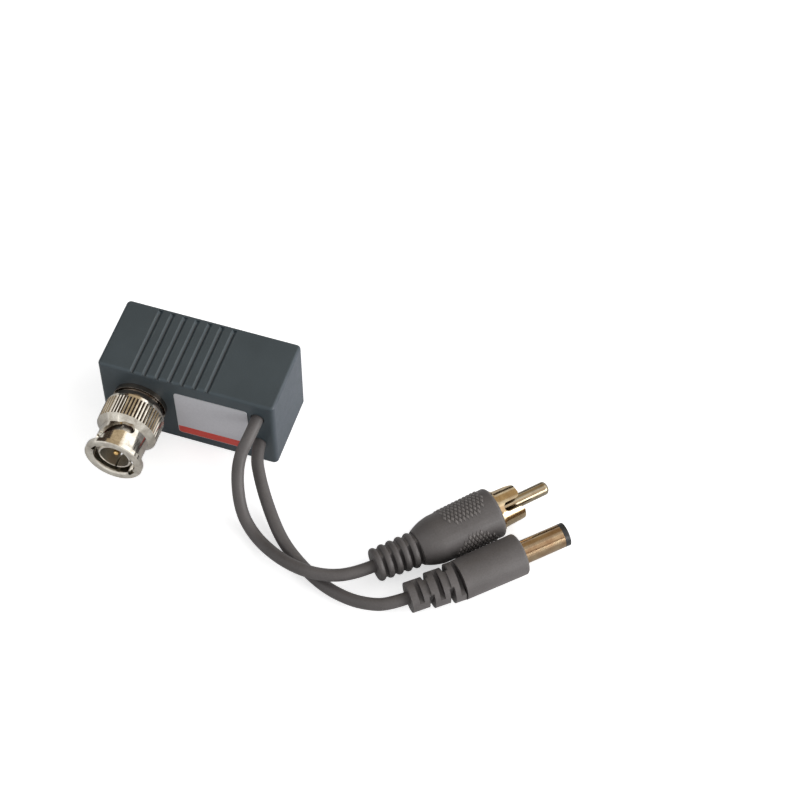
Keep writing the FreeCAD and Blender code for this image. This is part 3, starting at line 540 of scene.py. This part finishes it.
# Glass laminate under green solder mask: the cloth shows as faint threads 0.45 mm apart.
laminate = lined("solder_masked_glass_laminate", "28513a", "35654a", 0.45, 0.35, 0.0, "X")

finish_of_slot = {
    "housing_plastic": box_abs,
    "board_laminate": laminate,
    "socket_plastic": black_nylon,
    "nickel_plate": nickel,
    "gold_plate": gold,
    "white_insulator": white_ptfe,
    "gasket_rubber": red_silicone,
    "spring_steel": spring_steel,
    "ferrite": ferrite,
    "enamelled_copper": copper_turns,
    "tinned_copper": tin,
    "red_insulation": red_vinyl,
    "black_insulation": black_vinyl,
    "cord_sheath": vinyl,
    "tie_nylon": natural_nylon,
}
slot_of_node = {entry["node"]: entry["material_slot"] for entry in record["subparts"]}
for node, slot in slot_of_node.items():
    if slot in finish_of_slot:
        mesh = nodes[node].data
        mesh.materials.clear()
        mesh.materials.append(finish_of_slot[slot])

# The seven finger grooves of the box, as wide, deep and far apart as in its solid. Their lips
# carry painted highlight and their insides painted shade, which stops short of their rear ends.
box_low, box_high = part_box("housing")
groove_pitch = 3.05 * MM
groove_count = 7
first_groove = box_low.x + 8.6 * MM
paint_groove_light_and_shade(
    box_abs,
    lip_highlight_color="59615f",
    groove_shade_color="1c2225",
    grooves={
        "first_x": first_groove,
        "last_x": first_groove + (groove_count - 1) * groove_pitch,
        "pitch": groove_pitch,
        "half_width": 0.65 * MM,
        "depth": 0.45 * MM,
        "top": box_high.z,
        "end_y": box_high.y - 1.8 * MM,
    },
)
# Painted light: the right end wall is painted paler than the rest of the box, in patches.
paint_end_wall_light(box_abs, "484e57", box_high.x)


# Cords: the corners of the two routes. Each starts inside the box, runs straight out of its hole
# and follows points taken from the foot of the front wall below the holes to its plug.

cord_diameter = 2.9 * MM
cord_foot_mm = Vector((17.4, -9.7, 0.0))

audio_start_mm = [(0.0, 4.1, 16.4), (0.0, -3.6, 16.4)]
audio_route_mm = [
    (-1.7, -9.8, 11.9),
    (1.1, -16.8, 4.8),
    (5.6, -20.7, 1.4),
    (12.6, -25.5, 3.4),
    (19.5, -28.3, 5.2),
    (25.9, -28.3, 5.4),
    (31.7, -25.9, 5.4),
    (35.5, -22.4, 5.5),
]
power_start_mm = [(0.0, 4.1, 7.0), (0.0, -2.7, 7.0)]
power_route_mm = [
    (3.5, -9.1, 5.2),
    (8.2, -15.4, 2.9),
    (13.0, -20.8, 1.7),
    (19.2, -25.4, 1.5),
    (25.8, -28.9, 1.6),
    (32.2, -31.0, 2.9),
    (37.2, -31.4, 4.0),
    (41.3, -30.4, 4.4),
    (45.0, -27.4, 4.5),
]


def cord(name, node, corners_mm):
    """Round cord on a smooth spline whose control points are the route's corners."""
    curve = bpy.data.curves.new(name, "CURVE")
    curve.dimensions = "3D"
    curve.resolution_u = 16
    curve.bevel_depth = cord_diameter / 2
    curve.bevel_resolution = 10
    curve.use_fill_caps = True
    spline = curve.splines.new("NURBS")
    spline.points.add(len(corners_mm) - 1)
    for point, corner in zip(spline.points, corners_mm):
        point.co = (*((cord_foot_mm + Vector(corner)) * MM), 1.0)
    spline.order_u = 3
    spline.use_endpoint_u = True
    curve.materials.append(vinyl)
    return new_piece(name, curve, "box", "cord_sheath", node)


audio_corners_mm = audio_start_mm + audio_route_mm
power_corners_mm = power_start_mm + power_route_mm
audio_sheath = cord("audio_cord_sheath", "audio_cord", audio_corners_mm)
power_sheath = cord("power_cord_sheath", "power_cord", power_corners_mm)


# Hard pieces with broken edges

def plain_mesh(holder):
    """Mesh of an object with its modifiers applied; the object is removed."""
    depsgraph = bpy.context.evaluated_depsgraph_get()
    mesh = bpy.data.meshes.new_from_object(holder.evaluated_get(depsgraph))
    bpy.data.objects.remove(holder)
    return mesh


def broken_edges(name, node, width_mm, material):
    """Copy of a CAD node whose sharp edges have the small round that moulds or tumbling leave."""
    same_point = 0.001 * MM
    flat_angle = math.radians(0.5)
    sharp_angle = math.radians(30)
    form = bmesh.new()
    form.from_mesh(nodes[node].data)
    bmesh.ops.remove_doubles(form, verts=form.verts, dist=same_point)
    bmesh.ops.dissolve_limit(
        form, angle_limit=flat_angle, verts=form.verts, edges=form.edges
    )
    for face in form.faces:
        face.smooth = True
    mesh = bpy.data.meshes.new(name)
    form.to_mesh(mesh)
    form.free()
    if "custom_normal" in mesh.attributes:
        mesh.attributes.remove(mesh.attributes["custom_normal"])
    mesh.set_sharp_from_angle(angle=sharp_angle)
    holder = bpy.data.objects.new(name, mesh)
    bpy.context.scene.collection.objects.link(holder)
    bevel = holder.modifiers.new("edge_round", "BEVEL")
    bevel.width = width_mm * MM
    bevel.segments = 2
    bevel.limit_method = "ANGLE"
    bevel.angle_limit = sharp_angle
    bevel.use_clamp_overlap = True
    bevel.harden_normals = True
    rounded = plain_mesh(holder)
    rounded.materials.clear()
    rounded.materials.append(material)
    return new_piece(name, rounded, body_of_node[node], slot_of_node[node], node)


broken_edges("box_shell", "housing", 0.12, box_abs)
# The coupling nut has the same bright plate, with brown painted shade between the knurl's teeth.
knurled_nickel = plated("bright_nickel_on_knurl", "d8d3c8", "a59d91", 0.13, 0.35)
nut_low, nut_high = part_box("bayonet_coupling_nut")
knurl_rear = nut_high.y - 0.7 * MM
knurl_front = box_low.y - 9.1 * MM
paint_knurl_root_shade(
    knurled_nickel,
    "3d342c",
    axis=(nut_low + nut_high) / 2,
    root=6.95 * MM,
    crest=7.25 * MM,
    middle=(knurl_rear + knurl_front) / 2,
    half_length=(knurl_rear - knurl_front) / 2,
)
broken_edges("knurled_coupling_nut", "bayonet_coupling_nut", 0.05, knurled_nickel)
# The fixed jack body is only dulled by a barrel finish, which lights its deep bore. Its flange, in
# the recess behind the nut, is painted dark as shade.
satin_nickel = plated("satin_nickel_on_jack_body", "dedad2", "c4beb3", 0.34, 0.35)
paint_flange_shade(satin_nickel, "8b8279", 0.1, box_low.y - 3.4 * MM, box_low.y - 2.8 * MM)
broken_edges("bayonet_jack_body", "bayonet_plug_body", 0.08, satin_nickel)

phono_grip = broken_edges("phono_grip", "phono_plug_body", 0.15, vinyl)
phono_shell = broken_edges("phono_shell", "phono_plug_shell", 0.06, warm_nickel)
barrel_grip = broken_edges("barrel_grip", "power_plug_body", 0.15, vinyl)
barrel_tube = broken_edges("barrel_tube", "power_plug_barrel", 0.08, browner_nickel)
# The phono pin's plate is a bright mirror, darker and browner than the shell round it.
pin_nickel = plated("thin_nickel_on_pin", "9c917c", "817562", 0.15, 0.3)
pin = nodes["phono_plug_pin"].data
pin.materials.clear()
pin.materials.append(pin_nickel)


# The two conical spring washers flatten together as the nut is pulled off its rest, towards the
# jack's shoulder in front of them. Here each only gets rounded edges and a mesh of its own.

washers = ("bayonet_spring_washer_rear", "bayonet_spring_washer_front")
for node in washers:
    washer = broken_edges(node.replace("bayonet_", ""), node, 0.03, spring_steel)
    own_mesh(washer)


# Label: a film with a printed face and a bare cut edge round it

label_width = 17.9 * MM
label_height = 15.2 * MM
label_corner = 0.8 * MM
label_margin = 0.1 * MM
label_tilt = math.radians(1.0)
band_height = 2.6 * MM


def rounded_outline(width, height, corner, steps=6):
    """Corners of a rounded rectangle round the origin, anticlockwise seen from the front, -Y."""
    points = []
    for turn, (side, level) in enumerate(((1, 1), (-1, 1), (-1, -1), (1, -1))):
        for step in range(steps + 1):
            angle = math.pi / 2 * (turn + step / steps)
            x = side * (width / 2 - corner) + corner * math.cos(angle)
            z = level * (height / 2 - corner) + corner * math.sin(angle)
            points.append((x, z))
    return points


def label_print():
    """Polyester film: satin silver-grey print over fibres too fine to see, and one red band."""
    material, tree, shader, place = surface("printed_polyester_film", "9c9ca1", 0.42)
    printed = add(tree, "ShaderNodeUVMap", {"uv_map": "print"}).outputs["UV"]
    level = add(tree, "ShaderNodeSeparateXYZ", inputs={"Vector": printed}).outputs["Y"]
    band = add(tree, "ShaderNodeMath", {"operation": "LESS_THAN"}, {0: level, 1: band_height})
    fibre = add(
        tree,
        "ShaderNodeTexNoise",
        inputs={"Vector": place, "Scale": per_metre(0.5), "Detail": 4.0},
    )
    grey = add(
        tree,
        "ShaderNodeMixRGB",
        inputs={
            "Fac": fibre.outputs["Fac"],
            "Color1": hex_color("bfbfc5"),
            "Color2": hex_color("d0d0d5"),
        },
    )
    red = add(
        tree,
        "ShaderNodeMixRGB",
        inputs={
            "Fac": fibre.outputs["Fac"],
            "Color1": hex_color("cc3a2e"),
            "Color2": hex_color("e04c3e"),
        },
    )
    tint = add(
        tree,
        "ShaderNodeMixRGB",
        inputs={"Fac": band.outputs[0], "Color1": grey.outputs[0], "Color2": red.outputs[0]},
    )
    relief = add(
        tree,
        "ShaderNodeBump",
        inputs={"Height": fibre.outputs["Fac"], "Strength": 0.3, "Distance": 0.01 * MM},
    )
    tree.links.new(tint.outputs[0], shader.inputs["Base Color"])
    tree.links.new(relief.outputs[0], shader.inputs["Normal"])
    return material


def label_film():
    """Thin rounded plate on the front wall: printed face, bare rim, sides and back."""
    low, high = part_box("label")
    form = bmesh.new()
    prints = form.loops.layers.uv.new("print")
    rim = rounded_outline(label_width, label_height, label_corner)
    inner = rounded_outline(
        label_width - 2 * label_margin,
        label_height - 2 * label_margin,
        label_corner - label_margin,
    )
    rings = []
    for outline, depth in ((rim, high.y), (rim, low.y), (inner, low.y)):
        rings.append([form.verts.new((x, depth, z)) for x, z in outline])
    count = len(rim)
    bare = [form.faces.new(rings[0])]
    for outer, nearer in zip(rings, rings[1:]):
        for index in range(count):
            after = (index + 1) % count
            bare.append(form.faces.new((outer[index], nearer[index], nearer[after], outer[after])))
    printed = form.faces.new(rings[-1])
    for face in bare:
        face.material_index = 1
    for loop in printed.loops:
        corner = loop.vert.co
        loop[prints].uv = (corner.x + label_width / 2, corner.z + label_height / 2)
    bmesh.ops.recalc_face_normals(form, faces=form.faces)
    mesh = bpy.data.meshes.new("label_film")
    form.to_mesh(mesh)
    form.free()
    middle = Vector(((low.x + high.x) / 2, 0, (low.z + high.z) / 2))
    mesh.transform(Matrix.Translation(middle) @ Matrix.Rotation(-label_tilt, 4, "Y"))
    # The bare film is whiter than its print where the punch cut it.
    cut_edge = moulded("cut_edge_of_polyester_film", "bdbdc0", "cfcfd2", 0.5, 0.01, 0.5)
    mesh.materials.append(label_print())
    mesh.materials.append(cut_edge)
    new_piece("label_film", mesh, "box", "label_film", "label")


label_film()


# Phono grip: two patches of diamond knurl on opposite flanks, grown by one node tree

def diamond_knurl_tree(material):
    """Long pyramids on a staggered grid in an oval, bent round a tapered grip on both its flanks.

    The grip's axis is X; the ovals lie on +Z and -Z. Stretch makes the teeth longer round the
    axis than along it. The oval reaches past the middles of the grid's sides, which cut it square.
    """
    oval_reach = 0.64
    tree = bpy.data.node_groups.new("diamond_knurl", "GeometryNodeTree")
    for name in ("Length", "Width", "Pitch", "Stretch", "Rise", "Radius", "Taper"):
        tree.interface.new_socket(name, in_out="INPUT", socket_type="NodeSocketFloat")
    tree.interface.new_socket("Geometry", in_out="OUTPUT", socket_type="NodeSocketGeometry")
    sizes = add(tree, "NodeGroupInput").outputs
    tooth_width = add(
        tree, "ShaderNodeMath", {"operation": "MULTIPLY"}, {0: sizes["Pitch"], 1: sizes["Stretch"]}
    )
    tooth = add(
        tree, "ShaderNodeCombineXYZ", inputs={"X": sizes["Pitch"], "Y": tooth_width.outputs[0]}
    )
    patch = add(
        tree, "ShaderNodeCombineXYZ", inputs={"X": sizes["Length"], "Y": sizes["Width"], "Z": 1.0}
    )
    per_side = add(
        tree,
        "ShaderNodeVectorMath",
        {"operation": "DIVIDE"},
        {0: patch.outputs[0], 1: tooth.outputs[0]},
    )
    gaps = add(tree, "ShaderNodeVectorMath", {"operation": "CEIL"}, {0: per_side.outputs[0]})
    posts = add(
        tree,
        "ShaderNodeVectorMath",
        {"operation": "ADD"},
        {0: gaps.outputs[0], 1: (1.0, 1.0, 0.0)},
    )
    spread = add(
        tree,
        "ShaderNodeVectorMath",
        {"operation": "MULTIPLY"},
        {0: gaps.outputs[0], 1: tooth.outputs[0]},
    )
    count = add(tree, "ShaderNodeSeparateXYZ", inputs={"Vector": posts.outputs[0]})
    side = add(tree, "ShaderNodeSeparateXYZ", inputs={"Vector": spread.outputs[0]})
    grid = add(
        tree,
        "GeometryNodeMeshGrid",
        inputs={
            "Size X": side.outputs["X"],
            "Size Y": side.outputs["Y"],
            "Vertices X": count.outputs["X"],
            "Vertices Y": count.outputs["Y"],
        },
    )
    half_tooth = add(
        tree, "ShaderNodeVectorMath", {"operation": "SCALE"}, {0: tooth.outputs[0], "Scale": 0.5}
    )
    between = add(
        tree,
        "GeometryNodeTransform",
        inputs={"Geometry": grid.outputs["Mesh"], "Translation": half_tooth.outputs[0]},
    )
    places = add(tree, "GeometryNodeJoinGeometry", inputs={"Geometry": grid.outputs["Mesh"]})
    tree.links.new(between.outputs["Geometry"], places.inputs["Geometry"])
    place = add(tree, "GeometryNodeInputPosition")
    share = add(
        tree,
        "ShaderNodeVectorMath",
        {"operation": "DIVIDE"},
        {0: place.outputs[0], 1: patch.outputs[0]},
    )
    from_middle = add(tree, "ShaderNodeVectorMath", {"operation": "LENGTH"}, {0: share.outputs[0]})
    outside = add(
        tree,
        "ShaderNodeMath",
        {"operation": "GREATER_THAN"},
        {0: from_middle.outputs["Value"], 1: oval_reach},
    )
    oval = add(
        tree,
        "GeometryNodeDeleteGeometry",
        {"domain": "POINT"},
        {"Geometry": places.outputs["Geometry"], "Selection": outside.outputs[0]},
    )
    foot = add(tree, "ShaderNodeMath", {"operation": "MULTIPLY"}, {0: sizes["Pitch"], 1: 0.5})
    crest = add(tree, "ShaderNodeMath", {"operation": "MULTIPLY"}, {0: sizes["Pitch"], 1: 0.2})
    pyramid = add(
        tree,
        "GeometryNodeMeshCone",
        {"fill_type": "NGON"},
        {
            "Vertices": 4,
            "Radius Top": crest.outputs[0],
            "Radius Bottom": foot.outputs[0],
            "Depth": sizes["Rise"],
        },
    )
    point = add(tree, "ShaderNodeSeparateXYZ", inputs={"Vector": place.outputs[0]})
    level = add(
        tree, "ShaderNodeMath", {"operation": "DIVIDE"}, {0: point.outputs["Z"], 1: sizes["Rise"]}
    )
    marked = add(
        tree,
        "GeometryNodeStoreNamedAttribute",
        {"data_type": "FLOAT", "domain": "POINT"},
        {"Geometry": pyramid.outputs["Mesh"], "Name": "tooth_level", "Value": level.outputs[0]},
    )
    stretch = add(tree, "ShaderNodeCombineXYZ", inputs={"X": 1.0, "Y": sizes["Stretch"], "Z": 1.0})
    teeth = add(
        tree,
        "GeometryNodeInstanceOnPoints",
        inputs={
            "Points": oval.outputs["Geometry"],
            "Instance": marked.outputs["Geometry"],
            "Scale": stretch.outputs[0],
        },
    )
    flat = add(
        tree, "GeometryNodeRealizeInstances", inputs={"Geometry": teeth.outputs["Instances"]}
    )
    widening = add(
        tree,
        "ShaderNodeMath",
        {"operation": "MULTIPLY_ADD"},
        {0: point.outputs["X"], 1: sizes["Taper"], 2: sizes["Radius"]},
    )
    height = add(
        tree,
        "ShaderNodeMath",
        {"operation": "ADD"},
        {0: point.outputs["Z"], 1: widening.outputs[0]},
    )
    upright = add(
        tree, "ShaderNodeCombineXYZ", inputs={"X": point.outputs["X"], "Z": height.outputs[0]}
    )
    angle = add(
        tree,
        "ShaderNodeMath",
        {"operation": "DIVIDE"},
        {0: point.outputs["Y"], 1: sizes["Radius"]},
    )
    bent = add(
        tree,
        "ShaderNodeVectorRotate",
        {"rotation_type": "X_AXIS", "invert": True},
        {"Vector": upright.outputs[0], "Angle": angle.outputs[0]},
    )
    flank = add(
        tree,
        "GeometryNodeSetPosition",
        inputs={"Geometry": flat.outputs["Geometry"], "Position": bent.outputs[0]},
    )
    copy = add(
        tree, "GeometryNodeGeometryToInstance", inputs={"Geometry": flank.outputs["Geometry"]}
    )
    opposite = add(
        tree,
        "GeometryNodeTransform",
        inputs={"Geometry": copy.outputs["Instances"], "Rotation": (math.pi, 0.0, 0.0)},
    )
    both = add(tree, "GeometryNodeJoinGeometry", inputs={"Geometry": copy.outputs["Instances"]})
    tree.links.new(opposite.outputs["Geometry"], both.inputs["Geometry"])
    real = add(tree, "GeometryNodeRealizeInstances", inputs={"Geometry": both.outputs["Geometry"]})
    finished = add(
        tree,
        "GeometryNodeSetMaterial",
        inputs={"Geometry": real.outputs["Geometry"], "Material": material},
    )
    add(tree, "NodeGroupOutput", inputs={"Geometry": finished.outputs["Geometry"]})
    return tree


def grown(name, tree, sizes):
    """Plain mesh that a node tree makes with the given values of its named inputs."""
    holder = bpy.data.objects.new(name, bpy.data.meshes.new(name))
    bpy.context.scene.collection.objects.link(holder)
    modifier = holder.modifiers.new(name, "NODES")
    modifier.node_group = tree
    for item in tree.interface.items_tree:
        if item.item_type == "SOCKET" and item.name in sizes:
            modifier[item.identifier] = sizes[item.name]
    return plain_mesh(holder)


def knurled_vinyl_painted_light_and_shade():
    """Vinyl whose teeth carry a painted highlight on top and painted shade at their feet."""
    material, tree, shader, place = surface("knurled_vinyl_warm_grey", "5c5856", 0.54)
    level = add(tree, "ShaderNodeAttribute", {"attribute_name": "tooth_level"})
    bare = add(
        tree,
        "ShaderNodeMapRange",
        inputs={"Value": level.outputs["Fac"], "From Min": 0.05, "From Max": 0.75},
    )
    # Painted shade at the feet of the teeth, painted highlight on their tops.
    tint = add(
        tree,
        "ShaderNodeMixRGB",
        inputs={
            "Fac": bare.outputs[0],
            "Color1": hex_color("383532"),
            "Color2": hex_color("706b69"),
        },
    )
    tree.links.new(tint.outputs[0], shader.inputs["Base Color"])
    grain = add(
        tree,
        "ShaderNodeTexNoise",
        inputs={"Vector": place, "Scale": per_metre(0.38), "Detail": 3.0},
    )
    relief = add(
        tree,
        "ShaderNodeBump",
        inputs={"Height": grain.outputs["Fac"], "Strength": 0.5, "Distance": 0.05 * MM},
    )
    tree.links.new(relief.outputs[0], shader.inputs["Normal"])
    return material


# The phono grip's axis: its joint with the cord, its heading from +X towards +Y and its rise. The
# roll turns its two mould halves round that axis. The grip widens evenly from its back.
phono_joint = (cord_foot_mm + Vector((43.3, -15.2, 5.67))) * MM
phono_heading = math.radians(46.6)
phono_rise = math.radians(0.9)
phono_roll = math.radians(40.0)
grip_back_radius = 5.7 * MM
grip_back_place = 5.0 * MM
grip_taper = 0.25 / 14.1
knurl_middle = 12.2 * MM


def phono_knurl():
    """Both knurled flanks, laid on the grip's axis and turned to its two mould halves."""
    grip_radius = grip_back_radius + grip_taper * (knurl_middle - grip_back_place)
    sunk_feet = 0.01 * MM
    sizes = {
        "Length": 9.4 * MM,
        "Width": 12.4 * MM,
        "Pitch": 0.95 * MM,
        "Stretch": 2.2,
        "Rise": 0.22 * MM,
        "Radius": grip_radius - sunk_feet,
        "Taper": grip_taper,
    }
    mesh = grown("phono_grip_knurl", diamond_knurl_tree(knurled_vinyl_painted_light_and_shade()), sizes)
    level = math.cos(phono_rise)
    forward = Vector(
        (
            level * math.cos(phono_heading),
            level * math.sin(phono_heading),
            math.sin(phono_rise),
        )
    )
    left = Vector((-math.sin(phono_heading), math.cos(phono_heading), 0))
    flank = left * math.cos(phono_roll) + forward.cross(left) * math.sin(phono_roll)
    across = flank.cross(forward)
    turn = Matrix((forward, across, flank)).transposed().to_4x4()
    mesh.transform(Matrix.Translation(phono_joint + forward * knurl_middle) @ turn)
    # The teeth that the grip lies on are pressed flat by the table.
    for vertex in mesh.vertices:
        vertex.co.z = max(vertex.co.z, 0.0)
    return new_piece("phono_grip_knurl", mesh, "box", "cord_sheath")


phono_knurl_patches = phono_knurl()


# Floor, world, lamps and cards

def flat_card(name, place, target, width, height, material):
    """Flat stage card that faces the target."""
    mesh = bpy.data.meshes.new(name)
    corners = [(-width, -height, 0), (width, -height, 0), (width, height, 0), (-width, height, 0)]
    mesh.from_pydata([Vector(corner) / 2 for corner in corners], [], [(0, 1, 2, 3)])
    mesh.materials.append(material)
    card = bpy.data.objects.new(name, mesh)
    card.location = place
    card.rotation_euler = (Vector(target) - Vector(place)).to_track_quat("Z", "Y").to_euler()
    bpy.context.scene.collection.objects.link(card)
    return card


def floor_paper():
    """White paper, lifted to white for the eye; the metal mirrors it as it is lit."""
    lift_for_the_eye = 0.6
    material, tree, shader, _ = surface("white_paper_sweep", "f4f4f4", 0.9)
    rays = add(tree, "ShaderNodeLightPath")
    lift = add(
        tree,
        "ShaderNodeMath",
        {"operation": "MULTIPLY"},
        {0: rays.outputs["Is Camera Ray"], 1: lift_for_the_eye},
    )
    shader.inputs["Emission Color"].default_value = (1.0, 1.0, 1.0, 1.0)
    tree.links.new(lift.outputs[0], shader.inputs["Emission Strength"])
    return material


def world_light(ambient, background):
    """Even white world: ambient for the object, background for the eye, mirrors and glass."""
    world = bpy.data.worlds.new("studio")
    bpy.context.scene.world = world
    world.use_nodes = True
    tree = world.node_tree
    rays = add(tree, "ShaderNodeLightPath")
    seen = add(
        tree,
        "ShaderNodeMath",
        {"operation": "MAXIMUM"},
        {0: rays.outputs["Is Camera Ray"], 1: rays.outputs["Is Glossy Ray"]},
    )
    through = add(
        tree,
        "ShaderNodeMath",
        {"operation": "MAXIMUM"},
        {0: seen.outputs[0], 1: rays.outputs["Is Transmission Ray"]},
    )
    strength = add(
        tree,
        "ShaderNodeMapRange",
        inputs={"Value": through.outputs[0], "To Min": ambient, "To Max": background},
    )
    back = tree.nodes["Background"]
    back.inputs["Color"].default_value = (1.0, 1.0, 1.0, 1.0)
    tree.links.new(strength.outputs[0], back.inputs["Strength"])


def softbox(name, place, target, size, power):
    """Rectangular lamp that faces the target."""
    data = bpy.data.lights.new(name, "AREA")
    data.shape = "RECTANGLE"
    data.size, data.size_y = size
    data.energy = power
    lamp = bpy.data.objects.new(name, data)
    lamp.location = place
    lamp.rotation_euler = (Vector(target) - Vector(place)).to_track_quat("-Z", "Y").to_euler()
    bpy.context.scene.collection.objects.link(lamp)


def mirror_card(name, azimuth, elevation, width, height, color):
    """Card of even brightness high round the stage that only the metal and the gloss see.

    The azimuth turns from +X towards +Y.
    """
    level = math.cos(math.radians(elevation))
    direction = Vector(
        (
            level * math.cos(math.radians(azimuth)),
            level * math.sin(math.radians(azimuth)),
            math.sin(math.radians(elevation)),
        )
    )
    material, _, shader, _ = surface(name, "000000", 1.0)
    shader.inputs["Emission Color"].default_value = hex_color(color)
    shader.inputs["Emission Strength"].default_value = 1.0
    card = flat_card(name, middle + direction * card_distance, middle, width, height, material)
    card.visible_camera = False
    card.visible_diffuse = False
    card.visible_shadow = False


# The lamps and the cards face the middle of the part.
middle = Vector((0.03, -0.015, 0.01))
card_distance = 1.3
flat_card("floor", (0, 0, -0.05 * MM), (0, 0, 1), 5.0, 5.0, floor_paper())
world_light(0.4, 1.0)
softbox("key", (0.64, 0.2, 0.5), middle, (1.0, 1.0), 3.1)
softbox("side", (0.8, -0.1, 0.2), middle, (0.5, 0.4), 4.4)
softbox("fill", (-0.5, -0.45, 0.55), middle, (0.5, 0.4), 0.6)
mirror_card("cream_ceiling_card", 104.0, 52.0, 1.3, 0.9, "d3bf9f")
mirror_card("tan_front_card", -18.0, 48.0, 0.9, 0.8, "b4936f")
mirror_card("left_dark_card", 146.0, 27.0, 0.8, 0.8, "463a33")
mirror_card("back_dark_card", 116.0, 10.0, 0.7, 0.42, "3a302a")

bpy.context.scene.view_settings.view_transform = "Standard"
